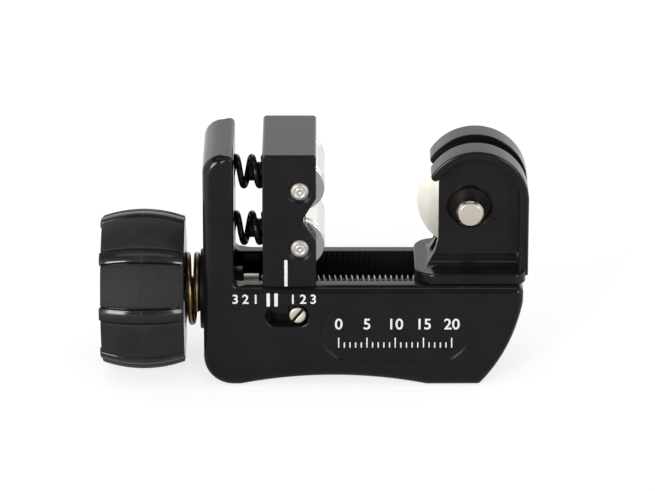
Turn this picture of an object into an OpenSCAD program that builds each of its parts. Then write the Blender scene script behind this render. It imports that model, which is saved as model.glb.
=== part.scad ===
// Tube cutter for copper tube, shown fully open.
// X runs along the feed screw from the knob to the cutting wheel, Z points up and
// -Y is the marked front. The values below are measured from the left face of the
// frame, the mid-plane and the foot; place() moves the origin to the middle of the foot's plane.

/* [Tube and cutting line] */
// Outside diameter of the largest tube
tube_d = 22; // [20:0.5:24]
// Height of the cutting line above the foot
cut_h = 39.4; // [39:0.1:42]

/* [Frame] */
// Depth of the body from front to back
body_w = 26; // [25.6:0.2:30]
// Height of the rails above the foot
rail_h = 23.6; // [23.2:0.1:24]
// Height of the upright leg above the foot
leg_h = 54.2; // [53:0.1:58]
// Thickness of the upright leg
leg_t = 6.8; // [6.6:0.1:8]
// Radius of the leg's upper outer corner
leg_corner_r = 4.2; // [2:0.1:5]
// Width of the open channel between the rails
channel_w = 17.6; // [17.4:0.1:18.4]
// Depth of the channel below the rails
channel_depth = 13.2; // [12.8:0.1:14]
// Rounding of the frame's outer edges
frame_edge_r = 1.8; // [1:0.1:2]
// Rounding of the leg's outer edges
leg_edge_r = 0.8; // [0.4:0.1:1.2]
// Height of the shallow finger arch under the foot
arch_h = 2.1; // [1:0.1:4]
// Radius of the heel below the leg
heel_r = 6.5; // [4:0.1:7]
// Wall that closes the channel at the toe
end_wall_t = 4.6; // [4:0.1:6]
// Recess of the oval panel on the front
panel_recess = 0.3; // [0.1:0.05:0.6]
// Height of the oval panel
panel_h = 14.1; // [10:0.1:15]

/* [Feed screw] */
// Crest diameter of the feed thread
thread_d = 6; // [5.8:0.1:6.4]
// Pitch of the feed thread
thread_pitch = 1.25; // [1:0.05:1.5]
// Height of the screw's axis above the foot
screw_h = 18.15; // [18.12:0.01:18.3]
// Diameter of the collar that stops the screw in the window
collar_d = 6.8; // [6.6:0.1:7.4]
// Diameter of the journal in the bearing bush
journal_d = 5.6; // [5.5:0.1:5.8]
// Diameter of the tail that turns in the end wall
tail_d = 3.8; // [3:0.1:4.2]
// Turns of the knob from fully open to closed
feed_turns = 17; // [14:0.5:17]

/* [Bearing bush] */
// Outside diameter of the bush in the leg
bush_d = 15; // [14.4:0.1:15.4]
// Diameter of the bush's flange
bush_flange_d = 17.8; // [17:0.1:19]
// Thickness of the bush's flange
bush_flange_t = 0.85; // [0.8:0.05:1.2]
// Diameter of the thrust washer inside the window
thrust_washer_d = 10; // [8:0.1:11]
// Thickness of the thrust washer inside the window
thrust_washer_t = 1.7; // [1:0.1:1.8]

/* [Knob] */
// Largest diameter of the barrel-shaped knob
knob_d = 36.2; // [35:0.1:36.2]
// Diameter of the knob at its two ends
knob_end_d = 32.8; // [30:0.1:34]
// Length of the knob
knob_l = 18.9; // [17:0.1:21]
// Gap between the knob and the frame
knob_gap = 4.1; // [3.9:0.1:5]
// Number of soft grip panels
grip_count = 8; // [6:1:12]
// Thickness of the soft grip panels
grip_t = 1.3; // [0.8:0.1:2]
// Share of each grip spacing that the raised rib takes up
rib_share = 0.27; // [0.2:0.01:0.4]

/* [Roller carriage] */
// Window between the leg and the carriage at rest
window_gap = 6.3; // [6.2:0.1:7]
// Thickness of the carriage along the feed axis
carriage_t = 11.8; // [11.6:0.1:12.4]
// Height of the carriage's top above the foot
carriage_h = 54.6; // [54:0.1:58]
// Rounding of the carriage's edges
carriage_edge_r = 0.4; // [0.3:0.1:1]
// Travel of the carriage against its springs
carriage_travel = 4.1; // [3:0.1:4.1]

/* [Rollers] */
// Diameter of the rollers
roller_d = 10.9; // [10.6:0.1:11.2]
// Length of the rollers
roller_l = 20; // [18:0.1:20.2]
// Distance between the two roller axes
roller_pitch = 13.4; // [13:0.1:13.8]
// Diameter of the roller pins
roller_pin_d = 3.9; // [3.5:0.1:4.2]

/* [Springs] */
// Outside diameter of the carriage springs
spring_d = 7.8; // [7.4:0.1:8]
// Wire diameter of the carriage springs
spring_wire_d = 1.4; // [1.1:0.1:1.5]
// Curls of each carriage spring
spring_curls = 2.5; // [2:0.25:2.5]
// Outside diameter of the drag spring behind the knob
drag_d = 16.4; // [15.8:0.1:16.6]
// Wire diameter of the drag spring
drag_wire_d = 1.4; // [1.2:0.1:1.5]
// Curls of the drag spring
drag_curls = 1.75; // [1.5:0.25:1.75]

/* [Wheel carrier] */
// Outer radius of the arched hood
hood_r = 11.6; // [11.4:0.1:12]
// Thickness of the arched hood
hood_t = 2; // [1.6:0.1:2.2]
// Depth of the hood from front to back
hood_w = 17.6; // [17:0.1:18.4]
// Width of the slot through the hood
hood_slot_w = 5; // [4.6:0.1:5.4]
// Distance over the outsides of the two ears
ear_w = 8.6; // [8.2:0.1:9]
// Depth of the sliding base from front to back
base_w = 22.8; // [22:0.1:25]
// Thickness of the sliding base
base_t = 2.3; // [2.2:0.1:3.2]
// Radius of the fillet between the ears and the base
base_fillet_r = 3.1; // [2:0.1:3.2]

/* [Cutting wheel] */
// Diameter of the cutting wheel
wheel_d = 23; // [22:0.1:23.2]
// Width of the wheel's hub between the ears
wheel_hub_w = 3.8; // [3.4:0.1:3.9]
// Width of the wheel's blade behind its bevel
blade_w = 2.6; // [1.6:0.1:3]
// Diameter of the wheel pin
wheel_pin_d = 6.2; // [5.6:0.1:6.6]
// How far the wheel pin stands out in front of its ear
wheel_pin_proud = 5.2; // [4:0.1:6]

/* [Running clearances] */
// Radial clearance of shafts that turn or slide in a hole
run_fit = 0.05; // [0.03:0.01:0.08]
// Radial clearance of parts pressed together
press_fit = 0.02; // [0.01:0.01:0.03]
// Gap under sliding bases and beside sliding tongues
slide_gap = 0.06; // [0.04:0.01:0.1]
// Gap between parts that must not touch
free_gap = 0.3; // [0.25:0.05:0.4]

/* [Hidden] */

// Overrun of every cut past the face that it opens
cut = 1;
// Segments of round solids, of short arcs in outlines and of long curves
$fn = 64;
arc_n = 8;
curve_n = 14;

// Places along the feed axis
carriage_x0 = leg_t + window_gap;
carriage_x1 = carriage_x0 + carriage_t;
// Setback of the roller axes from the carriage's cutting side
roller_setback = 3.6;
roller_x = carriage_x1 - roller_setback;
roller_r = roller_d / 2;
tube_r = tube_d / 2;
wheel_r = wheel_d / 2;
nest = sqrt(pow(roller_r + tube_r, 2) - pow(roller_pitch / 2, 2));
wheel_x = roller_x + nest + tube_r + wheel_r;

// Places of the wheel carrier, from the wheel's axis
ear_back = 6.9;
hood_forward = 1.3;
base_nose = 12.2;
hood_rise = 2.8;
// Overhang of the carrier past the toe, and shortfall of its base and tongue inside it
toe_overhang = 1.1;
base_short = 0.6;
tongue_l = 18;
ear_x0 = wheel_x - ear_back;
hood_x = wheel_x + hood_forward;
hood_z = cut_h + hood_rise;
carrier_x1 = hood_x + hood_r;
// The base starts clear of the carriage after the whole feed
feed_travel = feed_turns * thread_pitch;
base_x0 = max(wheel_x - base_nose, carriage_x1 + feed_travel + free_gap);
base_x1 = carrier_x1 - base_short;
base_z0 = rail_h + slide_gap;
base_z1 = base_z0 + base_t;
body_l = carrier_x1 - toe_overhang;
channel_x1 = body_l - end_wall_t;
tongue_x1 = channel_x1 - free_gap;
tongue_x0 = tongue_x1 - tongue_l;

// Heights
channel_z = rail_h - channel_depth;
roller_z = [cut_h + roller_pitch / 2, cut_h - roller_pitch / 2];
front_y = -body_w / 2;

// Feed screw
journal_r = journal_d / 2;
thread_r = thread_d / 2;
collar_r = collar_d / 2;
tail_r = tail_d / 2;
// Depth of the thread as a share of its pitch
thread_depth_share = 0.6;
root_r = thread_r - thread_depth_share * thread_pitch;
washer_x1 = leg_t + slide_gap + thrust_washer_t;
collar_l = 3.6;
collar_x0 = washer_x1 + slide_gap;
thread_x0 = collar_x0 + collar_l;
thread_x1 = channel_x1 - free_gap;
tail_l = 2.6;
// The knob seats on a hexagon at the screw's left end
hex_r = 2.7;
hex_l = 7.6;
hex_setback = 4.4;
knob_x1 = -knob_gap;
knob_x0 = knob_x1 - knob_l;
hex_x1 = knob_x1 - hex_setback;
hex_x0 = hex_x1 - hex_l;

// Frame details
channel_floor_r = 0.5;
window_fillet_r = 1.2;
foot_edge_r = 2;
toe_corner_r = 1.6;
spring_pocket_depth = 4.2;
spring_r = spring_d / 2;
spring_pocket_r = spring_r + free_gap;
bush_r = bush_d / 2;
bush_flange_r = bush_flange_d / 2;
// The foot's flat starts and ends, and the toe's sweep, as shares of the body's length
arch_start_share = 0.115;
arch_end_share = 0.70;
foot_end_share = 0.865;
toe_bend_x_share = 0.968;
toe_bend_z_share = 0.33;
toe_top_z_share = 0.83;
// The oval panel and the stop slot on the front
panel_x0_share = 0.366;
panel_x1_share = 0.834;
panel_z_share = 0.55;
panel_z = rail_h * panel_z_share;
panel_x0 = body_l * panel_x0_share;
panel_x1 = body_l * panel_x1_share;
slot_w = 5;
slot_drop = 6.9;
slot_z = rail_h - slot_drop;
stop_screw_d = 3.9;
slot_right_room = 0.7;
slot_left_room = 1.1;
stop_setback = 7.7;
stop_x = carriage_x0 + stop_setback;
slot_x0 = stop_x - carriage_travel - slot_left_room - stop_screw_d / 2;
slot_x1 = stop_x + slot_right_room + stop_screw_d / 2;
stop_screw_recess = 0.5;
driver_slot_w = 0.7;
driver_slot_depth = 0.8;

// Roller carriage details
saddle_r = collar_r + free_gap + 2 * slide_gap;
carriage_leg_depth = 10;
carriage_tongue_w = channel_w - 2 * slide_gap;
roller_cavity_r = roller_r + free_gap;
roller_cavity_w = roller_l + 2 * free_gap;
notch_w = 10;
notch_depth = 2.8;
notch_r = 1.6;
guide_d = 4.2;
guide_reach = 3.6;
guide_seat = 1.9;
seat_depth = 0.9;
pin_dish_d = 5.2;
pin_dish_depth = 0.25;
pin_proud = 0.15;
roller_groove_w = 1;
roller_groove_depth = 0.5;
roller_groove_inset = 1.6;

// Springs: the tube of the wire has six sides, and a curl eight rings
wire_sides = 6;
curl_rings = 8;
drag_hole_depth = 0.65;
drag_seat_depth = 2.4;
drag_bore_gap = 0.5;

// Wheel carrier details
ear_gap_w = wheel_hub_w + 4 * run_fit;
right_wall_t = 2.2;
slot_floor_gap = 0.8;
wall_slot_drop = 8;
hood_start_deg = 148;
nose_r = 5;
base_corner_r = 2.6;
tongue_depth = 12;
clip_bore_d = 9.2;
clip_bore_depth = 0.9;
clip_d = 8.4;
clip_t = 0.7;
clip_groove_depth = 0.5;
pin_rear_reach = 1.9;
pin_chamfer = 0.6;
flare_z_share = 0.42;
flare_l = 2.6;

// Wheel details
edge_w = 0.2;
bevel_h = 4.6;
hub_d = 12;

// Knob details
knob_r = knob_d / 2;
knob_end_r = knob_end_d / 2;
core_drop = 0.15;
grip_inset = 0.35;
knob_screw_d = 3;
knob_screw_head_d = 7.4;
knob_screw_head_t = 2.4;
knob_screw_l = 7;
knob_washer_d = 9.6;
knob_washer_t = 0.9;
knob_dish_d = 22;
knob_dish_depth = 2.2;
knob_screw_pit_d = 10.4;

// Middle of the whole part along the feed axis
origin_x = (knob_x0 + carrier_x1) / 2;

// Points of a circular arc, from angle a0 to a1
function arc_pts(cx, cz, r, a0, a1, n = arc_n) =
    [for (i = [0:n]) let (a = a0 + (a1 - a0) * i / n) [cx + r * cos(a), cz + r * sin(a)]];

// Points of a quadratic curve that leaves p0 towards c and arrives at p1 from c
function curve_pts(p0, c, p1, n = curve_n) =
    [for (i = [0:n]) let (t = i / n) (1 - t) * (1 - t) * p0 + 2 * t * (1 - t) * c + t * t * p1];

// Points of a shallow arc of height h over the chord from x0 to x1 at height zero
function arch_pts(x0, x1, h, n = curve_n) =
    let (half = (x1 - x0) / 2, r = (half * half + h * h) / (2 * h), open = asin(half / r))
    [for (i = [0:n]) let (a = 90 + open - 2 * open * i / n) [(x0 + x1) / 2 + r * cos(a), h - r + r * sin(a)]];

// Moves the origin to the middle of the part
module place() {
    translate([-origin_x, 0, 0]) children();
}

// Extrudes an outline drawn in X and Z from y0 to y1
module slab(y0, y1) {
    translate([0, y1, 0]) rotate([90, 0, 0]) linear_extrude(y1 - y0) children();
}

// Extrudes an outline drawn in Y and Z from x0 to x1
module bar(x0, x1) {
    translate([x0, 0, 0]) rotate([90, 0, 90]) linear_extrude(x1 - x0) children();
}

// A round rod along X, and one along Y
module rod_x(x0, x1, r, y = 0, z = 0) {
    translate([x0, y, z]) rotate([0, 90, 0]) cylinder(h = x1 - x0, r = r);
}
module rod_y(y0, y1, r, x = 0, z = 0) {
    translate([x, y0, z]) rotate([-90, 0, 0]) cylinder(h = y1 - y0, r = r);
}

// Revolves an outline drawn as [radius, x] about the X axis at height z
module lathe_x(z = 0) {
    translate([0, 0, z]) rotate([0, 90, 0]) rotate_extrude() children();
}

// Revolves an outline drawn as [radius, y] about a Y axis
module lathe_y(x = 0, z = 0) {
    translate([x, 0, z]) rotate([-90, 0, 0]) rotate_extrude() children();
}

// A rectangle with its lower corners rounded by rb and its upper corners by rt
module round_rect(a0, a1, b0, b1, rb, rt) {
    polygon(concat(
        arc_pts(a0 + rb, b0 + rb, rb, 180, 270),
        arc_pts(a1 - rb, b0 + rb, rb, 270, 360),
        arc_pts(a1 - rt, b1 - rt, rt, 0, 90),
        arc_pts(a0 + rt, b1 - rt, rt, 90, 180)
    ));
}

// A slot with round ends
module stadium(x0, x1, z, w) {
    translate([x0 + w / 2, z]) circle(d = w);
    translate([x1 - w / 2, z]) circle(d = w);
    translate([x0 + w / 2, z - w / 2]) square([x1 - x0 - w, w]);
}

// Side outline of the body below the rails
module body_outline() {
    polygon(concat(
        arc_pts(heel_r, heel_r, heel_r, 180, 270),
        arch_pts(body_l * arch_start_share, body_l * arch_end_share, arch_h),
        curve_pts([body_l * foot_end_share, 0],
                  [body_l * toe_bend_x_share, rail_h * toe_bend_z_share],
                  [body_l, rail_h * toe_top_z_share]),
        arc_pts(body_l - toe_corner_r, rail_h - toe_corner_r, toe_corner_r, 0, 90),
        [[0, rail_h]]
    ));
}

// Side outline of the leg, with the fillet at the foot of the window
module leg_outline() {
    polygon(concat(
        arc_pts(heel_r, heel_r, heel_r, 180, 270),
        arc_pts(leg_t + window_fillet_r, rail_h + window_fillet_r, window_fillet_r, 270, 180),
        arc_pts(leg_t - leg_edge_r, leg_h - leg_edge_r, leg_edge_r, 0, 90),
        arc_pts(leg_corner_r, leg_h - leg_corner_r, leg_corner_r, 90, 180)
    ));
}

// Die-cast body with its two rails, the channel between them and the upright leg
module frame() color([0.14, 0.13, 0.14]) place() {
    difference() {
        union() {
            intersection() {
                slab(-body_w, body_w) body_outline();
                bar(-cut, body_l + cut)
                    round_rect(-body_w / 2, body_w / 2, 0, rail_h, foot_edge_r, frame_edge_r);
                linear_extrude(rail_h + cut)
                    round_rect(0, body_l, -body_w / 2, body_w / 2, frame_edge_r, frame_edge_r);
            }
            intersection() {
                slab(-body_w, body_w) leg_outline();
                bar(-cut, leg_t + 2 * window_fillet_r)
                    round_rect(-body_w / 2, body_w / 2, 0, leg_h, foot_edge_r, leg_edge_r);
                linear_extrude(leg_h + cut) {
                    round_rect(0, leg_t, -body_w / 2, body_w / 2, leg_edge_r, leg_edge_r);
                    translate([leg_t / 2, leg_edge_r - body_w / 2])
                        square([leg_t / 2 + 2 * window_fillet_r, body_w - 2 * leg_edge_r]);
                }
            }
        }
        bar(leg_t, channel_x1)
            round_rect(-channel_w / 2, channel_w / 2, channel_z, rail_h + leg_h, channel_floor_r, 0);
        rod_x(-cut, leg_t + cut, bush_r + press_fit, 0, screw_h);
        for (z = roller_z) rod_x(leg_t - spring_pocket_depth, leg_t + cut, spring_pocket_r, 0, z);
        rod_x(channel_x1 - cut, channel_x1 + tail_l + free_gap, tail_r + run_fit, 0, screw_h);
        slab(front_y - cut, cut - channel_w / 2) stadium(slot_x0, slot_x1, slot_z, slot_w);
        slab(front_y - cut, front_y + panel_recess) stadium(panel_x0, panel_x1, panel_z, panel_h);
    }
}

// Flanged bush pressed into the leg, with the hole that holds the drag spring's end
module bearing_bush() color([0.10, 0.10, 0.11]) place() {
    difference() {
        union() {
            rod_x(-bush_flange_t, 0, bush_flange_r, 0, screw_h);
            rod_x(-bush_flange_t / 2, leg_t, bush_r, 0, screw_h);
        }
        rod_x(-bush_flange_t - cut, leg_t + cut, journal_r + run_fit, 0, screw_h);
        rod_x(-bush_flange_t - cut, drag_hole_depth - bush_flange_t, drag_wire_d / 2 + run_fit,
              drag_path_r * cos(drag_tail_deg), screw_h + drag_path_r * sin(drag_tail_deg));
    }
}

// Thrust washer between the leg and the collar of the screw
module thrust_washer() color([0.16, 0.14, 0.12]) place() {
    difference() {
        rod_x(leg_t + slide_gap, washer_x1, thrust_washer_d / 2, 0, screw_h);
        rod_x(leg_t - cut, washer_x1 + cut, journal_r + run_fit, 0, screw_h);
    }
}

// Feed screw: hexagon for the knob, journal, collar, thread and tail
module feed_screw() color([0.62, 0.52, 0.36]) place() {
    difference() {
        union() {
            lathe_x(screw_h) polygon(concat(
                [[0, hex_x1], [journal_r, hex_x1], [journal_r, collar_x0], [collar_r, collar_x0],
                 [collar_r, thread_x0], [thread_r, thread_x0]],
                [for (i = [0:floor((thread_x1 - thread_x0) / thread_pitch) - 1], k = [0, 1])
                    let (x = thread_x0 + (i + (k + 1) / 2) * thread_pitch)
                    [k == 0 ? root_r : thread_r, x]],
                [[root_r, thread_x1], [tail_r, thread_x1], [tail_r, thread_x1 + tail_l],
                 [0, thread_x1 + tail_l]]
            ));
            translate([hex_x0, 0, screw_h]) rotate([0, 90, 0])
                cylinder(h = hex_x1 - hex_x0 + journal_r, r = hex_r, $fn = 6);
        }
        rod_x(hex_x0 - cut, hex_x0 + knob_screw_l, knob_screw_d / 2 + press_fit, 0, screw_h);
    }
}

// Barrel profile of the knob from x0 to x1, at the given drop below its largest size
function barrel_pts(x0, x1, drop) =
    let (half = knob_l / 2, sag = knob_r - knob_end_r, r = (half * half + sag * sag) / (2 * sag),
         mid = (knob_x0 + knob_x1) / 2)
    [for (i = [0:curve_n]) let (x = x0 + (x1 - x0) * i / curve_n)
        [knob_r - drop - r + sqrt(r * r - pow(x - mid, 2)), x]];

// Hard knob body with a raised rib between every two grip panels
module knob_core() color([0.17, 0.17, 0.17]) place() {
    difference() {
        union() {
            lathe_x(screw_h) polygon(concat(
                [[0, knob_x0 + grip_inset]],
                barrel_pts(knob_x0 + grip_inset, knob_x1 - grip_inset / 2, grip_t),
                [[0, knob_x1 - grip_inset / 2]]
            ));
            for (i = [0:grip_count - 1])
                translate([0, 0, screw_h]) rotate([(i + rib_start_share) * grip_step, 0, 0])
                    rotate([0, 90, 0]) rotate([0, 0, -rib_deg / 2]) rotate_extrude(angle = rib_deg)
                        polygon(concat([[knob_end_r / 2, knob_x0]], barrel_pts(knob_x0, knob_x1, core_drop),
                                       [[knob_end_r / 2, knob_x1]]));
        }
        rod_x(knob_x0 - cut, knob_x0 + knob_dish_depth, knob_dish_d / 2, 0, screw_h);
        rod_x(knob_x0, hex_x0, knob_screw_pit_d / 2, 0, screw_h);
        translate([hex_x0 - cut, 0, screw_h]) rotate([0, 90, 0])
            cylinder(h = knob_l, r = hex_r + run_fit, $fn = 6);
        rod_x(hex_x1, knob_x1 + cut, journal_r + run_fit, 0, screw_h);
        rod_x(knob_x1 - drag_seat_depth, knob_x1 + cut, drag_d / 2 + drag_bore_gap, 0, screw_h);
    }
}
grip_step = 360 / grip_count;
rib_deg = grip_step * rib_share;
// One rib faces the front, all but level with the screw
rib_start_share = 0.978;

// Soft grip panels moulded between the ribs
module knob_grips() color([0.27, 0.26, 0.26]) place() {
    groove_deg = grip_step * groove_share;
    pad_start_deg = rib_start_share * grip_step + rib_deg / 2 + groove_deg;
    pad_deg = grip_step - rib_deg - 2 * groove_deg;
    for (i = [0:grip_count - 1])
        translate([0, 0, screw_h]) rotate([i * grip_step + pad_start_deg, 0, 0])
            rotate([0, 90, 0]) rotate_extrude(angle = pad_deg)
                polygon(concat(
                    barrel_pts(knob_x0 + grip_inset, knob_x1 - grip_inset, 0),
                    barrel_pts(knob_x1 - grip_inset, knob_x0 + grip_inset, grip_t - press_fit)
                ));
}
groove_share = 0.012;

// Washer under the head of the knob's screw
module knob_washer() color([0.75, 0.75, 0.74]) place() {
    difference() {
        rod_x(hex_x0 - knob_washer_t, hex_x0, knob_washer_d / 2, 0, screw_h);
        rod_x(hex_x0 - knob_washer_t - cut, hex_x0 + cut, knob_screw_d / 2 + run_fit, 0, screw_h);
    }
}

// Pan-head screw that holds the knob on the feed screw
module knob_screw() color([0.72, 0.72, 0.70]) place() {
    head_x1 = hex_x0 - knob_washer_t;
    difference() {
        union() {
            rod_x(head_x1 - knob_screw_head_t, head_x1, knob_screw_head_d / 2, 0, screw_h);
            rod_x(head_x1 - cut / 2, hex_x0 + knob_screw_l - free_gap, knob_screw_d / 2, 0, screw_h);
        }
        for (turn = [0, 90])
            translate([head_x1 - knob_screw_head_t, 0, screw_h]) rotate([turn, 0, 0])
                cube([2 * driver_slot_depth, knob_screw_head_d * cross_share, driver_slot_w],
                     center = true);
    }
}
cross_share = 0.6;

// Centre line of a coil along X: a straight end, the curls and a straight end
function coil_path(x0, x1, r, wire, curls, start_deg) =
    let (steps = round(curls * curl_rings), h0 = x0 + wire, h1 = x1 - wire)
    concat(
        [[x0, r * cos(start_deg), r * sin(start_deg)]],
        [for (i = [0:steps]) let (a = start_deg + 360 * curls * i / steps, x = h0 + (h1 - h0) * i / steps)
            [x, r * cos(a), r * sin(a)]],
        [[x1, r * cos(start_deg + 360 * curls), r * sin(start_deg + 360 * curls)]]
    );

// Mitred rings of a round wire along a path of points
function unit(v) = v / norm(v);
function tangent(p, i) =
    let (n = len(p) - 1)
    i == 0 ? unit(p[1] - p[0])
    : i == n ? unit(p[n] - p[n - 1])
    : unit(unit(p[i] - p[i - 1]) + unit(p[i + 1] - p[i]));
function out_of(t, p) = let (o = [0, p[1], p[2]]) unit(o - (o * t) * t);
function wire_points(p, r) = [
    for (i = [0:len(p) - 1])
        let (t = tangent(p, i), u = out_of(t, p[i]), v = cross(t, u))
        for (k = [0:wire_sides - 1])
            let (a = 360 * (k + 0.5) / wire_sides) p[i] + r * cos(a) * u + r * sin(a) * v
];
function wire_faces(n) = concat(
    [for (k = [1:wire_sides - 2]) [0, k, k + 1]],
    [for (k = [1:wire_sides - 2]) let (b = (n - 1) * wire_sides) [b, b + k + 1, b + k]],
    [for (i = [0:n - 2], k = [0:wire_sides - 1])
        let (a = i * wire_sides + k, b = i * wire_sides + (k + 1) % wire_sides) [a, a + wire_sides, b]],
    [for (i = [0:n - 2], k = [0:wire_sides - 1])
        let (a = i * wire_sides + k, b = i * wire_sides + (k + 1) % wire_sides)
        [b, a + wire_sides, b + wire_sides]]
);

// Least clear distance between parts of one coil that are over half a curl apart
function coil_gap(p, wire) = min([
    for (i = [0:len(p) - 1], j = [i + curl_rings / 2:1:len(p) - 1]) norm(p[i] - p[j])
]) - wire;

module coil(path, wire, z) {
    translate([0, 0, z]) polyhedron(points = wire_points(path, wire / 2), faces = wire_faces(len(path)));
}

// Angle about the axis at which each coil starts
spring_start_deg = 95;
drag_start_deg = 100;
drag_path_r = (drag_d - drag_wire_d) / 2;
drag_x0 = knob_x1 - drag_seat_depth + slide_gap;
drag_x1 = drag_hole_depth - bush_flange_t - slide_gap;
drag_tail_deg = drag_start_deg + 360 * drag_curls;
drag_path = coil_path(drag_x0, drag_x1, drag_path_r, drag_wire_d, drag_curls, drag_start_deg);
carriage_spring_path = coil_path(leg_t - spring_pocket_depth, carriage_x0 + seat_depth,
                                 (spring_d - spring_wire_d) / 2, spring_wire_d, spring_curls,
                                 spring_start_deg);
echo(least_gap_of_the_drag_spring_mm = coil_gap(drag_path, drag_wire_d));
echo(least_gap_of_the_carriage_springs_mm = coil_gap(carriage_spring_path, spring_wire_d));

// Drag spring around the journal, between the knob and the bush
module drag_spring() color([0.70, 0.58, 0.34]) place() coil(drag_path, drag_wire_d, screw_h);

// Springs that push the roller carriage away from the leg
module carriage_spring(z) coil(carriage_spring_path, spring_wire_d, z);
module upper_spring() color([0.09, 0.09, 0.09]) place() carriage_spring(roller_z[0]);
module lower_spring() color([0.09, 0.09, 0.09]) place() carriage_spring(roller_z[1]);

// Guide pins inside the springs, pressed into the carriage
module spring_guide(z) {
    rod_x(carriage_x0 - guide_reach, carriage_x0 + guide_seat, guide_d / 2, 0, z);
}
module upper_spring_guide() color([0.12, 0.12, 0.12]) place() spring_guide(roller_z[0]);
module lower_spring_guide() color([0.12, 0.12, 0.12]) place() spring_guide(roller_z[1]);

// Side outline of the roller carriage, with the notch between the rollers
module carriage_outline() {
    difference() {
        round_rect(carriage_x0, carriage_x1, base_z0, carriage_h, carriage_edge_r, carriage_edge_r);
        polygon(concat(
            [[carriage_x1 + cut, cut_h - notch_w / 2 - cut]],
            [[carriage_x1 + cut, cut_h + notch_w / 2 + cut]],
            [[carriage_x1, cut_h + notch_w / 2]],
            arc_pts(carriage_x1 - notch_depth + notch_r, cut_h, notch_r, 135, 225),
            [[carriage_x1, cut_h - notch_w / 2]]
        ));
    }
}

// Sliding block that holds both rollers, with a saddle over the feed screw
module roller_carriage() color([0.13, 0.12, 0.13]) place() {
    difference() {
        union() {
            intersection() {
                slab(-body_w / 2, body_w / 2) carriage_outline();
                bar(carriage_x0 - cut, carriage_x1 + cut)
                    round_rect(-body_w / 2, body_w / 2, base_z0, carriage_h,
                               carriage_edge_r, carriage_edge_r);
                linear_extrude(carriage_h + cut)
                    round_rect(carriage_x0, carriage_x1, -body_w / 2, body_w / 2,
                               carriage_edge_r, carriage_edge_r);
            }
            translate([carriage_x0 + carriage_edge_r, -carriage_tongue_w / 2, rail_h - carriage_leg_depth])
                cube([carriage_t - 2 * carriage_edge_r, carriage_tongue_w,
                      carriage_leg_depth + carriage_edge_r]);
        }
        rod_x(carriage_x0 - cut, carriage_x1 + cut, saddle_r, 0, screw_h);
        translate([carriage_x0 - cut, -saddle_r, channel_z])
            cube([carriage_t + 2 * cut, 2 * saddle_r, screw_h - channel_z]);
        for (z = roller_z) {
            rod_y(-roller_cavity_w / 2, roller_cavity_w / 2, roller_cavity_r, roller_x, z);
            translate([roller_x, -roller_cavity_w / 2, z - roller_cavity_r])
                cube([roller_setback + cut, roller_cavity_w, 2 * roller_cavity_r]);
            rod_y(-body_w, body_w, roller_pin_d / 2 + press_fit, roller_x, z);
            rod_y(front_y - cut, front_y + pin_dish_depth, pin_dish_d / 2, roller_x, z);
            rod_x(carriage_x0 - cut, carriage_x0 + seat_depth, spring_pocket_r, 0, z);
            rod_x(carriage_x0 - cut, carriage_x0 + guide_seat + slide_gap, guide_d / 2 + press_fit, 0, z);
        }
        rod_y(front_y, -saddle_r + cut, stop_screw_d / 2 + press_fit, stop_x, slot_z);
    }
}

// Polished roller with a shallow groove near each end
module roller(z) {
    half = roller_l / 2;
    bore = roller_pin_d / 2 + run_fit;
    g0 = half - roller_groove_inset;
    g1 = g0 - roller_groove_w;
    groove_r = roller_r - roller_groove_depth;
    lathe_y(roller_x, z) polygon([
        [bore, -half], [roller_r, -half], [roller_r, -g0], [groove_r, -g0], [groove_r, -g1],
        [roller_r, -g1], [roller_r, g1], [groove_r, g1], [groove_r, g0], [roller_r, g0],
        [roller_r, half], [bore, half]
    ]);
}
module upper_roller() color([0.82, 0.82, 0.80]) place() roller(roller_z[0]);
module lower_roller() color([0.82, 0.82, 0.80]) place() roller(roller_z[1]);

// Pins that carry the rollers, pressed through the front and back walls
module roller_pin(z) rod_y(front_y - pin_proud, -front_y, roller_pin_d / 2, roller_x, z);
module upper_roller_pin() color([0.72, 0.70, 0.67]) place() roller_pin(roller_z[0]);
module lower_roller_pin() color([0.72, 0.70, 0.67]) place() roller_pin(roller_z[1]);

// Slotted grub screw in the carriage that runs in the frame's slot
module stop_screw() color([0.78, 0.76, 0.70]) place() {
    difference() {
        rod_y(front_y + stop_screw_recess, -saddle_r - slide_gap, stop_screw_d / 2, stop_x, slot_z);
        translate([stop_x, front_y + stop_screw_recess, slot_z]) rotate([0, -driver_deg, 0])
            cube([stop_screw_d + cut, 2 * driver_slot_depth, driver_slot_w], center = true);
    }
}
driver_deg = 50;

// Cross-section of the base: flange on the rails, fillets and the walls of the two ears
module base_section() {
    ear_y = ear_w / 2;
    polygon(concat(
        [[-base_w / 2, base_z0], [base_w / 2, base_z0], [base_w / 2, base_z1]],
        arc_pts(ear_y + base_fillet_r, base_z1 + base_fillet_r, base_fillet_r, 270, 180),
        arc_pts(-ear_y - base_fillet_r, base_z1 + base_fillet_r, base_fillet_r, 0, -90),
        [[-base_w / 2, base_z1]]
    ));
}

// Side outline of the two ears below the hood, flared at its lower left
module ear_outline() {
    flare_z = base_z1 + (hood_z - base_z1) * flare_z_share;
    polygon(concat(
        [[base_x1, base_z0], [carrier_x1 - right_wall_t / 2, base_z1]],
        arc_pts(hood_x, hood_z, hood_r - hood_t / 2, 0, acos((ear_x0 - hood_x) / (hood_r - hood_t / 2)),
                curve_n),
        curve_pts([ear_x0, flare_z], [ear_x0, base_z1 + base_fillet_r], [ear_x0 - flare_l, base_z1]),
        [[ear_x0 - flare_l, base_z0]]
    ));
}

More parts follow.
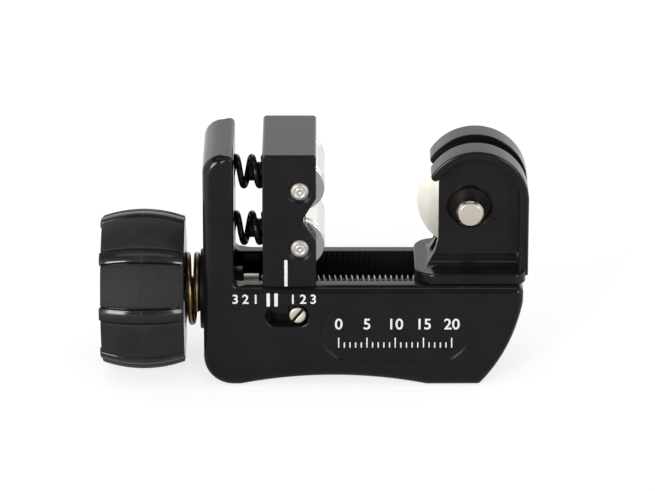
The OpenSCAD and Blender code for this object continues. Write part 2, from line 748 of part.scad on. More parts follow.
// Carrier of the cutting wheel: sliding base, nut, two ears, right wall and arched hood
module wheel_carrier() color([0.13, 0.12, 0.13]) place() {
    difference() {
        union() {
            intersection() {
                union() {
                    bar(base_x0, base_x1)
                        translate([-base_w / 2, base_z0]) square([base_w, base_t]);
                    bar(ear_x0 - flare_l / 2, base_x1) base_section();
                }
                linear_extrude(hood_z) union() {
                    translate([base_x0 + nose_r, 0]) circle(r = nose_r);
                    translate([base_x0, -base_w / 2 + nose_r]) square([nose_r, base_w - 2 * nose_r]);
                    translate([base_x0 + nose_r, -base_w / 2 + nose_r]) circle(r = nose_r);
                    translate([base_x0 + nose_r, base_w / 2 - nose_r]) circle(r = nose_r);
                    translate([base_x0 + nose_r, -base_w / 2])
                        square([base_x1 - base_x0 - nose_r - base_corner_r, base_w]);
                    translate([base_x1 - base_corner_r, -base_w / 2 + base_corner_r])
                        square([base_corner_r, base_w - 2 * base_corner_r]);
                    for (s = [-1, 1])
                        translate([base_x1 - base_corner_r, s * (base_w / 2 - base_corner_r)])
                            circle(r = base_corner_r);
                }
            }
            slab(-ear_w / 2, ear_w / 2) ear_outline();
            slab(-hood_w / 2, hood_w / 2) difference() {
                translate([hood_x, hood_z]) circle(r = hood_r);
                translate([hood_x, hood_z]) circle(r = hood_r - hood_t);
                translate([hood_x - 2 * hood_r, hood_z - 2 * hood_r]) square([4 * hood_r, 2 * hood_r]);
                translate([hood_x, hood_z]) rotate(hood_start_deg) square([2 * hood_r, 2 * hood_r]);
            }
            slab(-hood_w / 2, hood_w / 2)
                translate([carrier_x1 - right_wall_t, base_z1 - base_t / 2])
                    square([right_wall_t, hood_z - base_z1 + base_t / 2]);
            translate([tongue_x0, -carriage_tongue_w / 2, rail_h - tongue_depth])
                cube([tongue_l, carriage_tongue_w, tongue_depth + base_t / 2]);
        }
        rod_x(tongue_x0 - cut, tongue_x1 + cut, thread_r + run_fit, 0, screw_h);
        slab(-ear_gap_w / 2, ear_gap_w / 2) wheel_room(ear_x0 - hood_r);
        slab(-hood_slot_w / 2, hood_slot_w / 2) hood_slot();
        rod_y(-hood_w, hood_w, wheel_pin_d / 2 + press_fit, wheel_x, cut_h);
        for (s = [-1, 1])
            rod_y(s * ear_w / 2 - clip_bore_depth, s * ear_w / 2 + clip_bore_depth, clip_bore_d / 2,
                  wheel_x, cut_h);
    }
}

// Slot through the hood and down the right wall, which the wheel's edge runs in
module hood_slot() {
    difference() {
        translate([hood_x - 2 * hood_r, hood_z]) square([4 * hood_r, hood_r + cut]);
        intersection() {
            translate([hood_x, hood_z]) circle(r = hood_r - hood_t);
            wheel_room(ear_x0 - hood_r);
        }
    }
    translate([carrier_x1 - right_wall_t, hood_z - wall_slot_drop])
        square([right_wall_t + cut, wall_slot_drop]);
}

// Space between the ears that the wheel turns in, open on the left and above
module wheel_room(x0) {
    floor_z = cut_h - wheel_r - slot_floor_gap;
    translate([x0, floor_z]) square([carrier_x1 - right_wall_t - x0, hood_z + hood_r + cut - floor_z]);
}

// Cutting wheel: hub, blade and bevelled edge
module cutting_wheel() color([0.88, 0.86, 0.80]) place() {
    bore = wheel_pin_d / 2 + run_fit;
    lathe_y(wheel_x, cut_h) polygon([
        [bore, -wheel_hub_w / 2], [hub_d / 2, -wheel_hub_w / 2], [hub_d / 2, -blade_w / 2],
        [wheel_r - bevel_h, -blade_w / 2], [wheel_r, -edge_w / 2], [wheel_r, edge_w / 2],
        [wheel_r - bevel_h, blade_w / 2], [hub_d / 2, blade_w / 2], [hub_d / 2, wheel_hub_w / 2],
        [bore, wheel_hub_w / 2]
    ]);
}

// Pin through both ears, chamfered in front and grooved for its two clips
clip_front_y = -ear_w / 2 + clip_bore_depth - clip_t;
clip_rear_y = ear_w / 2 - clip_bore_depth;
module wheel_pin() color([0.76, 0.74, 0.68]) place() {
    r = wheel_pin_d / 2;
    y0 = -ear_w / 2 - wheel_pin_proud;
    y1 = ear_w / 2 + pin_rear_reach;
    g = r - clip_groove_depth;
    lathe_y(wheel_x, cut_h) polygon([
        [0, y0], [r - pin_chamfer, y0], [r, y0 + pin_chamfer], [r, clip_front_y], [g, clip_front_y],
        [g, clip_front_y + clip_t], [r, clip_front_y + clip_t], [r, clip_rear_y], [g, clip_rear_y],
        [g, clip_rear_y + clip_t], [r, clip_rear_y + clip_t], [r, y1 - pin_chamfer],
        [r - pin_chamfer, y1], [0, y1]
    ]);
}

// Snap ring in one groove of the wheel pin, open below
module pin_clip(y0) {
    difference() {
        rod_y(y0 + press_fit, y0 + clip_t - press_fit, clip_d / 2, wheel_x, cut_h);
        rod_y(y0 - cut, y0 + clip_t + cut, wheel_pin_d / 2 - clip_groove_depth + press_fit, wheel_x, cut_h);
        translate([wheel_x - clip_open_w / 2, y0 - cut, cut_h - clip_d])
            cube([clip_open_w, clip_t + 2 * cut, clip_d]);
    }
}
clip_open_w = 3;
module front_pin_clip() color([0.20, 0.19, 0.18]) place() pin_clip(clip_front_y);
module rear_pin_clip() color([0.20, 0.19, 0.18]) place() pin_clip(clip_rear_y);

frame();
bearing_bush();
thrust_washer();
feed_screw();
knob_core();
knob_grips();
knob_washer();
knob_screw();
drag_spring();
wheel_carrier();
cutting_wheel();
wheel_pin();
front_pin_clip();
rear_pin_clip();
roller_carriage();
upper_roller();
lower_roller();
upper_roller_pin();
lower_roller_pin();
stop_screw();
upper_spring();
lower_spring();
upper_spring_guide();
lower_spring_guide();
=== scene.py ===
from math import acos, asin, copysign, cos, degrees, pi, radians, sin, sqrt

import bpy
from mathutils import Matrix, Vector


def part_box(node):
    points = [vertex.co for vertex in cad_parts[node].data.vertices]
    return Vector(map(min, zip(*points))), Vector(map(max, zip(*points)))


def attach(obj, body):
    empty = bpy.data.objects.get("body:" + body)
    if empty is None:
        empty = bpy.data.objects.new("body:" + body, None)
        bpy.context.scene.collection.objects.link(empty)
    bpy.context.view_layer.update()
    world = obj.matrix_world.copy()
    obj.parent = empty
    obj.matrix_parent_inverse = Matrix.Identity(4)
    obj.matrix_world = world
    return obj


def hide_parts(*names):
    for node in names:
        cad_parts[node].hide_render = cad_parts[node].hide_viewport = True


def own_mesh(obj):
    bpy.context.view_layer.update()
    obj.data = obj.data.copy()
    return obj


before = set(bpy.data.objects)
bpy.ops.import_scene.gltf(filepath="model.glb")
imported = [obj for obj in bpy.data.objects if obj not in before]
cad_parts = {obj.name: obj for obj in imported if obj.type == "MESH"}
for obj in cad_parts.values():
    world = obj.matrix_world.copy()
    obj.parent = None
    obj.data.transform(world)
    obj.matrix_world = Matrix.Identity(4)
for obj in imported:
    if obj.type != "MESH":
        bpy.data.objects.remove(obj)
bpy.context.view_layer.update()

# The frame is one zinc die casting in glossy black enamel: a body with two rails and a
# channel between them, and an upright leg. The channel, the spring pockets, the stop slot and
# the shallow oval panel are cut after its outer edges are rounded.
mm = 0.001
leg_left, front_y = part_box("frame")[0].xy
toe_right, back_y, leg_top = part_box("frame")[1]
leg_right = leg_left + 6.8 * mm
body_l = toe_right - leg_left
rail_top = 23.6 * mm
heel_r = 6.5 * mm
toe_r = 1.6 * mm
window_r = 1.2 * mm
leg_corner_r = 4.2 * mm
rim_r = 0.8 * mm
wide_rim = 2.35
arch_x = (leg_left + 0.115 * body_l, leg_left + 0.70 * body_l)
arch_h = 2.1 * mm
channel_half = 8.8 * mm
channel_floor = 10.4 * mm
channel_end = toe_right - 4.6 * mm
screw_z = 18.15 * mm
roller_z = {"upper": 46.1 * mm, "lower": 32.7 * mm}
pocket_floor = leg_left + 2.6 * mm
pocket_r = 4.2 * mm
bush_r = 7.5 * mm
tail_r = 1.9 * mm
tail_bore_end = channel_end + 2.9 * mm
run_fit = 0.05 * mm
overrun = 1 * mm
snug = 0.02 * mm
near = 0.01 * mm
slot_x = (-10.71 * mm, -0.91 * mm)
slot_z = 16.7 * mm
slot_w = 5 * mm
panel_x = (1.49 * mm, 34.54 * mm)
panel_z = 12.98 * mm
panel_h = 14.1 * mm
panel_recess = 0.4 * mm


def let_go():
    """Deselects every object."""
    bpy.ops.object.select_all(action="DESELECT")


def edit(action="SELECT"):
    """Opens the active mesh in edit mode, with all of it selected, none, or as it was."""
    bpy.ops.object.mode_set(mode="EDIT")
    if action:
        bpy.ops.mesh.select_all(action=action)


def leave():
    """Goes back to object mode."""
    bpy.ops.object.mode_set(mode="OBJECT")


def hold(piece):
    """Makes one piece the only selected one and the active one."""
    let_go()
    piece.select_set(True)
    bpy.context.view_layer.objects.active = piece


def settle(name):
    """Names the new object and moves its place and turn into its mesh."""
    piece = bpy.context.object
    piece.name = piece.data.name = name
    hold(piece)
    bpy.ops.object.transform_apply(location=True, rotation=True, scale=True)
    return piece


def arc(x, z, r, start, end, steps=8):
    """Points of a round stretch, from one angle to another in degrees."""
    turns = [radians(start + (end - start) * i / steps) for i in range(steps + 1)]
    return [(x + r * cos(a), z + r * sin(a)) for a in turns]


def corner(x, z, r, start, steps=8):
    """Points that round a square corner by a quarter turn, from an angle in degrees."""
    middle = radians(start + 45)
    x, z = x - copysign(r, cos(middle)), z - copysign(r, sin(middle))
    return arc(x, z, r, start, start + 90, steps)


def sweep(start, pull, end, steps=12):
    """Points of a curve that leaves start towards pull and arrives at end from pull."""
    start, pull, end = Vector(start), Vector(pull), Vector(end)
    shares = [i / steps for i in range(steps + 1)]
    return [tuple((1 - t) ** 2 * start + 2 * t * (1 - t) * pull + t * t * end) for t in shares]


def trail(places):
    """Draws a line from place to place and stays in edit mode."""
    let_go()
    bpy.ops.mesh.primitive_plane_add(size=mm, location=places[0])
    edit()
    bpy.ops.mesh.merge(type="CENTER")
    for here, there in zip(places, places[1:]):
        bpy.ops.mesh.extrude_vertices_move(TRANSFORM_OT_translate={"value": there - here})


axes = {"xz": (0, 2, 1), "xy": (0, 1, 2), "yz": (1, 2, 0)}


def draw(name, points, plane, depth=0, close="face"):
    """Draws an outline point by point in the plane xz, xy or yz, as a face, a ring or open."""
    places = []
    for point in points:
        place = Vector((0, 0, 0))
        for axis, value in zip(axes[plane], (*point, depth)):
            place[axis] = value
        places.append(place)
    trail(places)
    if close != "open":
        bpy.ops.mesh.select_all(action="SELECT")
        bpy.ops.mesh.edge_face_add()
    if close == "ring":
        bpy.ops.mesh.delete(type="ONLY_FACE")
    leave()
    return settle(name)


def face_out(piece):
    """Merges doubled points and turns every face outwards."""
    hold(piece)
    edit()
    bpy.ops.mesh.remove_doubles(threshold=0.0005 * mm)
    bpy.ops.mesh.normals_make_consistent(inside=False)
    leave()


def slab(name, points, plane, low, high):
    """A filled outline extruded from low to high along the third axis."""
    piece = draw(name, points, plane, low)
    way = Vector((0, 0, 0))
    way[axes[plane][2]] = high - low
    edit()
    bpy.ops.mesh.extrude_region_move(TRANSFORM_OT_translate={"value": way})
    leave()
    face_out(piece)
    return piece


def block(name, low, high):
    """A plain box between two corners, to join or to cut with."""
    low, high = Vector(low), Vector(high)
    let_go()
    bpy.ops.mesh.primitive_cube_add(size=1, location=(low + high) / 2, scale=high - low)
    return settle(name)


def rod(name, start, end, r, sides=64):
    """A plain round bar between two points, to join or to bore with."""
    start, end = Vector(start), Vector(end)
    turn = (end - start).to_track_quat("Z", "Y").to_euler()
    let_go()
    bpy.ops.mesh.primitive_cylinder_add(
        vertices=sides, radius=r, depth=(end - start).length, location=(start + end) / 2, rotation=turn
    )
    return settle(name)


def modify(piece, name, kind, **settings):
    """Adds a modifier with its settings and applies it."""
    hold(piece)
    step = piece.modifiers.new(name, kind)
    for key, value in settings.items():
        setattr(step, key, value)
    bpy.ops.object.modifier_apply(modifier=step.name)


def round_edges(piece, width, test, steps=5):
    """Bevels the edges whose ends and middle all pass the test."""
    hold(piece)
    edit("DESELECT")
    bpy.ops.mesh.select_mode(type="EDGE")
    leave()
    for edge in piece.data.edges:
        start, end = [piece.data.vertices[i].co for i in edge.vertices]
        edge.select = all(test(p) for p in (start, (start + end) / 2, end))
    edit(None)
    bpy.ops.mesh.bevel(offset=width, segments=steps, profile=0.5, affect="EDGES", clamp_overlap=False)
    bpy.ops.mesh.select_mode(type="VERT")
    leave()


def combine(piece, tools, operation="DIFFERENCE"):
    """Cuts tools out of a piece, or joins them to it, and removes the tools."""
    for tool in tools:
        modify(piece, "combine", "BOOLEAN", operation=operation, solver="EXACT", object=tool)
        bpy.data.objects.remove(tool)


def join(name, parts):
    """Makes several meshes one piece."""
    let_go()
    for part in parts:
        part.select_set(True)
    bpy.context.view_layer.objects.active = parts[0]
    bpy.ops.object.join()
    return settle(name)


def soften(piece, width, steps=3, over=38):
    """Rounds every edge sharper than an angle a little, then shades the piece evenly."""
    face_out(piece)
    angle = radians(over)
    if width:
        limits = {"limit_method": "ANGLE", "angle_limit": angle, "use_clamp_overlap": False}
        modify(piece, "soften", "BEVEL", width=width, segments=steps, **limits)
    bpy.ops.object.shade_smooth_by_angle(angle=angle)
    modify(piece, "shading", "WEIGHTED_NORMAL", keep_sharp=True)


def stadium(x0, x1, z, w):
    """Outline of a slot with round ends."""
    return arc(x1 - w / 2, z, w / 2, -90, 90, 16) + arc(x0 + w / 2, z, w / 2, 90, 270, 16)


def feed(node, inputs):
    """Sets a node's sockets and properties, and links a socket where one is given."""
    for key, value in inputs.items():
        if isinstance(value, bpy.types.NodeSocket):
            node.id_data.links.new(value, node.inputs[key])
        elif isinstance(key, int) or key in node.inputs:
            node.inputs[key].default_value = value
        else:
            setattr(node, key, value)
    return node


def add(tree, kind, inputs=None):
    """Adds one shader node with its sockets and properties, and gives its outputs."""
    return feed(tree.nodes.new("ShaderNode" + kind), inputs or {}).outputs


def calc(tree, operation, *values):
    """One step of arithmetic on numbers and sockets."""
    return add(tree, "Math", {"operation": operation, **dict(enumerate(values))})[0]


def ramp(tree, value, start, end, low=0.0, high=1.0, style="LINEAR"):
    """Goes from low to high while a value goes from start to end."""
    ends = {"From Min": start, "From Max": end, "To Min": low, "To Max": high}
    return add(tree, "MapRange", {"interpolation_type": style, "Value": value, **ends})[0]


def blend(tree, one, other, share):
    """Mixes two colours, each a socket or its red, green and blue."""
    one, other = [c if isinstance(c, bpy.types.NodeSocket) else (*c, 1) for c in (one, other)]
    return add(tree, "Mix", {"data_type": "RGBA", 0: share, 6: one, 7: other})[2]


def effect(name, inputs, outputs):
    """Starts a group for one surface effect. Gives its tree, what it is given and its output node."""
    tree = bpy.data.node_groups.new(name, "ShaderNodeTree")
    tree.interface.new_socket("Vector", in_out="INPUT", socket_type="NodeSocketVector")
    for label, value in inputs.items():
        socket = tree.interface.new_socket(label, in_out="INPUT", socket_type="NodeSocketFloat")
        socket.default_value = value
    for label, kind in outputs.items():
        tree.interface.new_socket(label, in_out="OUTPUT", socket_type="NodeSocket" + kind)
    return tree, tree.nodes.new("NodeGroupInput").outputs, tree.nodes.new("NodeGroupOutput")


def surface(name, base, rough, settings=None):
    """Starts a material. Gives it, its tree, its shader and the object's coordinates."""
    made = bpy.data.materials.new(name)
    made.use_nodes = True
    made.diffuse_color = (*base, 1)
    shader = made.node_tree.nodes["Principled BSDF"]
    feed(shader, {"Base Color": (*base, 1), "Roughness": rough, **(settings or {})})
    return made, made.node_tree, shader, add(made.node_tree, "TexCoord")["Object"]


def place_effect(tree, group, place, **values):
    """Places a surface effect in a material with its own values."""
    made = tree.nodes.new("ShaderNodeGroup")
    made.node_tree = group
    return feed(made, {"Vector": place, **values}).outputs


def reopen(material):
    """The tree, shader, coordinates and present colour of a material, to add to it."""
    tree = material.node_tree
    shader = tree.nodes["Principled BSDF"]
    place = tree.nodes["Texture Coordinate"].outputs["Object"]
    return tree, shader, place, shader.inputs["Base Color"].links[0].from_socket


def fit(piece, material, body, node=None):
    """Gives a piece its finish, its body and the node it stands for."""
    piece.data.materials.clear()
    piece.data.materials.append(material)
    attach(piece, body)
    if node:
        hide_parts(node)


# Three shared effects: the slow waves and fine grain of a coated casting, patches where
# handling has dulled or lightened a surface, and thin wear along edges.
cast_skin, given, gives = effect("cast_skin", {"Waves": 0.05, "Grain": 0.004}, {"Normal": "Vector"})
waves = add(cast_skin, "TexNoise", {"Scale": 110, "Detail": 1, "Vector": given["Vector"]})
grain = add(cast_skin, "TexNoise", {"Scale": 1500, "Detail": 2, "Vector": given["Vector"]})
big = calc(cast_skin, "MULTIPLY", waves[0], given["Waves"])
small = calc(cast_skin, "MULTIPLY", grain[0], given["Grain"])
height = calc(cast_skin, "ADD", big, small)
skin_bump = add(cast_skin, "Bump", {"Distance": mm, "Height": height})
feed(gives, {"Normal": skin_bump[0]})

handling, given, gives = effect(
    "handling", {"Scale": 120, "Low": 0.1, "High": 0.2}, {"Value": "Float", "Mask": "Float"}
)
cloud = {"Detail": 5, "Roughness": 0.65, "Vector": given["Vector"], "Scale": given["Scale"]}
mask = ramp(handling, add(handling, "TexNoise", cloud)[0], 0.35, 0.68)
dulled = ramp(handling, mask, 0, 1, given["Low"], given["High"])
feed(gives, {"Value": dulled, "Mask": mask})


def patchy(tree, place, scale, low, high, one, other):
    """Roughness and colour of a surface that handling has changed in patches."""
    touch = place_effect(tree, handling, place, Scale=scale, Low=low, High=high)
    return touch["Value"], blend(tree, one, other, touch["Mask"])


edge_wear, given, gives = effect("edge_wear", {"Width": 0.25 * mm, "Reach": 0.5}, {"Mask": "Float"})
worn_normal = add(edge_wear, "Bevel", {"samples": 6, "Radius": given["Width"]})
true_normal = add(edge_wear, "NewGeometry")
turned_by = add(
    edge_wear, "VectorMath", {"operation": "DOT_PRODUCT", 0: worn_normal[0], 1: true_normal["Normal"]}
)
bent = ramp(edge_wear, turned_by["Value"], 0.99, 0.90)
chips = add(edge_wear, "TexNoise", {"Scale": 1400, "Detail": 4, "Vector": given["Vector"]})
kept = ramp(edge_wear, chips[0], 0.45, 0.62)
bare = calc(edge_wear, "MULTIPLY", bent, kept)
feed(gives, {"Mask": calc(edge_wear, "MULTIPLY", bare, given["Reach"])})


def coated(name, base, worn, low, high, waves, grain, reach, ior=1.43):
    """A dark coat over metal: slow waves, fine grain, dulled patches and thin worn edges."""
    made, tree, shader, place = surface(name, base, low, {"IOR": ior})
    skin = place_effect(tree, cast_skin, place, Waves=waves, Grain=grain)
    rough, color = patchy(tree, place, 120, low, high, base, [c * 1.5 for c in base])
    wear = place_effect(tree, edge_wear, place, Reach=reach)
    color = blend(tree, color, worn, wear["Mask"])
    feed(shader, {"Base Color": color, "Roughness": rough, "Normal": skin["Normal"]})
    return made


enamel = coated("black_enamel", (0.0065, 0.0055, 0.0062), (0.04, 0.034, 0.032), 0.09, 0.2, 0.04, 0.0012, 0.4)

arch_half = (arch_x[1] - arch_x[0]) / 2
arch_r = (arch_half**2 + arch_h**2) / (2 * arch_h)
arch_open = degrees(asin(arch_half / arch_r))
arch_mid = (arch_x[0] + arch_x[1]) / 2
foot_end = (leg_left + 0.865 * body_l, 0)
toe_pull = (leg_left + 0.968 * body_l, 0.33 * rail_top)
toe_end = (toe_right, 0.83 * rail_top)
# Each stretch of the outline with the share of extra width that its rim gets: none round the
# window, all of it along the rails, over the leg and under the foot
stretches = [
    (corner(leg_left, 0, heel_r, 180, 12), 1),
    (arc(arch_mid, arch_h - arch_r, arch_r, 90 + arch_open, 90 - arch_open, 20), 1),
    (sweep(foot_end, toe_pull, toe_end, 16), 1),
    (corner(toe_right, rail_top, toe_r, 0), 0.6),
    ([(toe_right - toe_r - overrun, rail_top)], 1),
    ([(leg_right + window_r + 2.4 * mm, rail_top)], 1),
    ([(leg_right + window_r + 1.6 * mm, rail_top)], 0.8),
    ([(leg_right + window_r + 0.8 * mm, rail_top)], 0.4),
    (arc(leg_right + window_r, rail_top + window_r, window_r, 270, 180), 0),
    (corner(leg_right, leg_top, window_r, 0), 0.1),
    (corner(leg_left, leg_top, leg_corner_r, 90, 12), 1),
]
frame_outline = [point for points, share in stretches for point in points]
extra_width = [share for points, share in stretches for point in points]
casting = slab("frame_casting", frame_outline, "xz", front_y, back_y)
round_edges(casting, rim_r, lambda p: abs(abs(p.y) - back_y) < near, 7)
columns = {}
for vertex in casting.data.vertices:
    if abs(vertex.co.y) > back_y - rim_r - near:
        gaps = [(x - vertex.co.x) ** 2 + (z - vertex.co.z) ** 2 for x, z in frame_outline]
        columns.setdefault((gaps.index(min(gaps)), vertex.co.y > 0), []).append(vertex.index)
for (at, behind), members in columns.items():
    factor = 1 + (wide_rim - 1) * extra_width[at]
    x, z = frame_outline[at]
    edit("DESELECT")
    leave()
    for i in members:
        casting.data.vertices[i].select = True
    edit(None)
    centre = (x, back_y if behind else front_y, z)
    bpy.ops.transform.resize(value=(factor, factor, factor), center_override=centre)
    leave()
cuts = [
    block("channel", (leg_right, -channel_half, channel_floor), (channel_end, channel_half, leg_top)),
    rod("bush_seat", (leg_left - overrun, 0, screw_z), (leg_right + overrun, 0, screw_z), bush_r + snug),
    rod("tail_bore", (channel_end - overrun, 0, screw_z), (tail_bore_end, 0, screw_z), tail_r + run_fit),
    slab("stop_slot", stadium(*slot_x, slot_z, slot_w), "xz", front_y - overrun, overrun - channel_half),
]
for z in roller_z.values():
    cuts.append(rod("pocket", (pocket_floor, 0, z), (leg_right + overrun, 0, z), pocket_r))
combine(casting, cuts)
soften(casting, 0.3 * mm)
panel = slab("panel", stadium(*panel_x, panel_z, panel_h), "xz", front_y - overrun, front_y + panel_recess)
combine(casting, [panel])
soften(casting, 0.16 * mm, 3)
fit(casting, enamel, "frame", "frame")

# The bearing bush is a turned steel sleeve with a thin flange, black oxide finished and pressed
# into the leg. The thrust washer behind it takes the pull of the screw.
bush_flange_r = 8.9 * mm
bush_flange_t = 0.85 * mm
journal_r = 2.8 * mm
washer_r = 5 * mm
washer_x = (leg_right + 0.06 * mm, leg_right + 1.76 * mm)


def eased(points, setback, steps=3, closed=True):
    """The same outline with every corner rounded from a setback along both of its sides."""
    result = []
    for i, point in enumerate(points):
        if not closed and i in (0, len(points) - 1):
            result.append(point)
            continue
        here = Vector(point)
        back = Vector(points[i - 1]) - here
        on = Vector(points[(i + 1) % len(points)]) - here
        room = min(setback, back.length * 0.45, on.length * 0.45)
        result += sweep(here + back.normalized() * room, here, here + on.normalized() * room, steps)
    return result


def lathe(name, profile, ease, axis, x=0, z=0, steps=96, hollow=True, shade=True, ease_steps=3):
    """Turns (place along the axis, radius) points with eased corners about an X or a Y axis."""
    plane, way = {"X": ("xz", (1, 0, 0)), "Y": ("yz", (0, 1, 0))}[axis]
    if ease:
        profile = eased(profile, ease, ease_steps, hollow)
    piece = draw(name, [(place, z + r) for place, r in profile], plane, x, "ring" if hollow else "open")
    hold(piece)
    edit()
    bpy.ops.mesh.spin(steps=steps, angle=2 * pi, center=(x, 0, z), axis=way)
    leave()
    face_out(piece)
    if shade:
        soften(piece, 0)
    return piece


turning, given, gives = effect(
    "turning_marks", {"Fineness": 5000, "Depth": 0.002}, {"Mark": "Float", "Normal": "Vector"}
)
flat = add(turning, "VectorMath", {"operation": "MULTIPLY", 1: (1, 1, 0), 0: given["Vector"]})
out = add(turning, "VectorMath", {"operation": "LENGTH", 0: flat[0]})
along = add(turning, "SeparateXYZ", {0: given["Vector"]})
run = calc(turning, "ADD", out["Value"], along["Z"])
lines = {"noise_dimensions": "1D", "Detail": 3, "Roughness": 0.7, "W": run, "Scale": given["Fineness"]}
rings = add(turning, "TexNoise", lines)
cut = calc(turning, "MULTIPLY", rings[0], given["Depth"])
cut_bump = add(turning, "Bump", {"Distance": mm, "Height": cut})
feed(gives, {"Mark": rings[0], "Normal": cut_bump[0]})


def turned(name, base, dark, rough, axis, centre, depth=0.002, fineness=5000, metal=1.0, spread=0.14, ior=1.5):
    """Turned metal: fine rings about its own axis, dulled patches and a little darkening."""
    made, tree, shader, place = surface(name, base, rough, {"Metallic": metal, "IOR": ior})
    turn = {"X": (0, pi / 2, 0), "Y": (pi / 2, 0, 0)}[axis]
    about = {"vector_type": "TEXTURE", "Location": centre, "Rotation": turn, "Vector": place}
    centred = add(tree, "Mapping", about)[0]
    marks = place_effect(tree, turning, centred, Depth=depth, Fineness=fineness)
    touch = place_effect(tree, handling, place, Scale=260, Low=rough, High=rough + spread)
    matt = calc(tree, "MULTIPLY_ADD", marks["Mark"], 0.10, touch["Value"])
    color = blend(tree, base, dark, ramp(tree, touch["Mask"], 0, 1, 0.0, 0.55))
    feed(shader, {"Base Color": color, "Roughness": matt, "Normal": marks["Normal"]})
    return made


screw_axis = (0, 0, screw_z)
black_oxide = turned(
    "black_oxide", (0.010, 0.009, 0.009), (0.006, 0.005, 0.005), 0.3, "X", screw_axis, metal=0.3, ior=1.3
)
bush_profile = [
    (leg_left - bush_flange_t, journal_r + run_fit), (leg_left - bush_flange_t, bush_flange_r),
    (leg_left, bush_flange_r), (leg_left, bush_r), (leg_right, bush_r), (leg_right, journal_r + run_fit),
]
bush = lathe("bearing_sleeve", bush_profile, 0.25 * mm, "X", z=screw_z)
fit(bush, black_oxide, "frame", "bearing_bush")
washer_profile = [
    (washer_x[0], journal_r + run_fit), (washer_x[0], washer_r),
    (washer_x[1], washer_r), (washer_x[1], journal_r + run_fit),
]
washer = lathe("thrust_ring", washer_profile, 0.2 * mm, "X", z=screw_z)
fit(washer, black_oxide, "screw_and_knob", "thrust_washer")

# The feed screw is bronzed steel: a hexagon and a smooth journal on the left, a bright collar
# in the window, a fine right-hand thread in the channel and a tail that turns in the toe. The
# collar and the thread's crests are painted pale over the dark finish, partly as wear and partly
# as a painted highlight.
hex_x = (-40.4619 * mm, -32.8619 * mm)
collar_x = (-15.7419 * mm, -12.1419 * mm)
thread_end = 41.3581 * mm
pitch = 1.25 * mm
thread_turns = 45
thread_r = 3 * mm
thread_root = 2.25 * mm
collar_r = 3.4 * mm
core_r = thread_root - 0.1 * mm
hex_r = 2.7 * mm
lap = 0.1 * mm
tail_l = 2.6 * mm
shaft_profile = [
    (hex_x[1], 0), (hex_x[1], journal_r), (collar_x[0], journal_r), (collar_x[0], collar_r),
    (collar_x[1], collar_r), (collar_x[1], core_r), (thread_end, core_r),
    (thread_end, tail_r), (thread_end + tail_l, tail_r), (thread_end + tail_l, 0),
]
shaft = lathe("feed_shaft", shaft_profile, 0.2 * mm, "X", z=screw_z, hollow=False, shade=False)
hexagon = rod("knob_seat", (hex_x[0], 0, screw_z), (hex_x[1] + overrun, 0, screw_z), hex_r, 6)
soften(hexagon, 0.2 * mm)
ridge = [(0, thread_root), (0.16 * pitch, thread_root), (0.43 * pitch, thread_r), (0.57 * pitch, thread_r)]
ridge += [(0.84 * pitch, thread_root), (pitch, thread_root)]
thread = draw("thread", ridge, "xz", 0, "open")
modify(
    thread, "winding", "SCREW", axis="X", screw_offset=pitch, steps=48, render_steps=48,
    iterations=thread_turns, use_merge_vertices=True, merge_threshold=0.001 * mm,
)
thread.location = (collar_x[1] - pitch, 0, screw_z)
settle("thread")
for place, way in ((collar_x[1] - lap, -1), (thread_end, 1)):
    edit()
    bpy.ops.mesh.bisect(plane_co=(place, 0, 0), plane_no=(way, 0, 0), clear_outer=True, use_fill=True)
    leave()
screw = join("feed_shaft", [shaft, hexagon, thread])
soften(screw, 0)
bronzed = turned("bronzed_steel", (0.085, 0.068, 0.052), (0.04, 0.032, 0.025), 0.16, "X", screw_axis, 0.0015)
tree, shader, place, dark = reopen(bronzed)
across = add(tree, "VectorMath", {"operation": "MULTIPLY_ADD", 0: place, 1: (0, 1, 1), 2: (0, 0, -screw_z)})
off_axis = add(tree, "VectorMath", {"operation": "LENGTH", 0: across[0]})
# Pale colour all round on the collar and the crests: partly wear, partly a painted highlight
crest_wear_and_highlight = ramp(tree, off_axis["Value"], thread_r - 0.16 * mm, thread_r - 0.04 * mm)
color = blend(tree, dark, (0.86, 0.79, 0.69), crest_wear_and_highlight)
matt = ramp(tree, crest_wear_and_highlight, 0, 1, shader.inputs["Roughness"].links[0].from_socket, 0.42)
feed(shader, {"Base Color": color, "Roughness": matt})
fit(screw, bronzed, "screw_and_knob", "feed_screw")

# The knob is moulded in two shots. The hard body has eight ribs that show between the soft
# panels, a dish in its outer face with a pit for the screw, and a seat for the drag spring.
knob_x = (-47.3619 * mm, -28.4619 * mm)
knob_mid = (knob_x[0] + knob_x[1]) / 2
knob_r = 18.1 * mm
knob_end_r = 16.4 * mm
grip_t = 1.3 * mm
grip_step = 45
rib_turn = 44
rib_deg = 12.15
ring_w = 0.45 * mm
body_x = (knob_x[0] + 0.35 * mm, knob_x[1] - 0.18 * mm)
drag_seat_x = knob_x[1] - 2.4 * mm
drag_seat_r = 8.7 * mm
dish_x = knob_x[0] + 2.2 * mm
dish_r = 11 * mm
pit_r = 5.2 * mm
rib_foot_r = 14.6 * mm
sag = knob_r - knob_end_r
barrel_r = (((knob_x[1] - knob_x[0]) / 2) ** 2 + sag**2) / (2 * sag)


def barrel(x, drop=0):
    """Radius of the barrel-shaped knob at a place along its axis, less a drop."""
    return knob_r - drop - barrel_r + sqrt(barrel_r**2 - (x - knob_mid) ** 2)


def along_barrel(start, end, drop, steps=18):
    """Points along the barrel from one place to another."""
    places = [start + (end - start) * i / steps for i in range(steps + 1)]
    return [(x, barrel(x, drop)) for x in places]


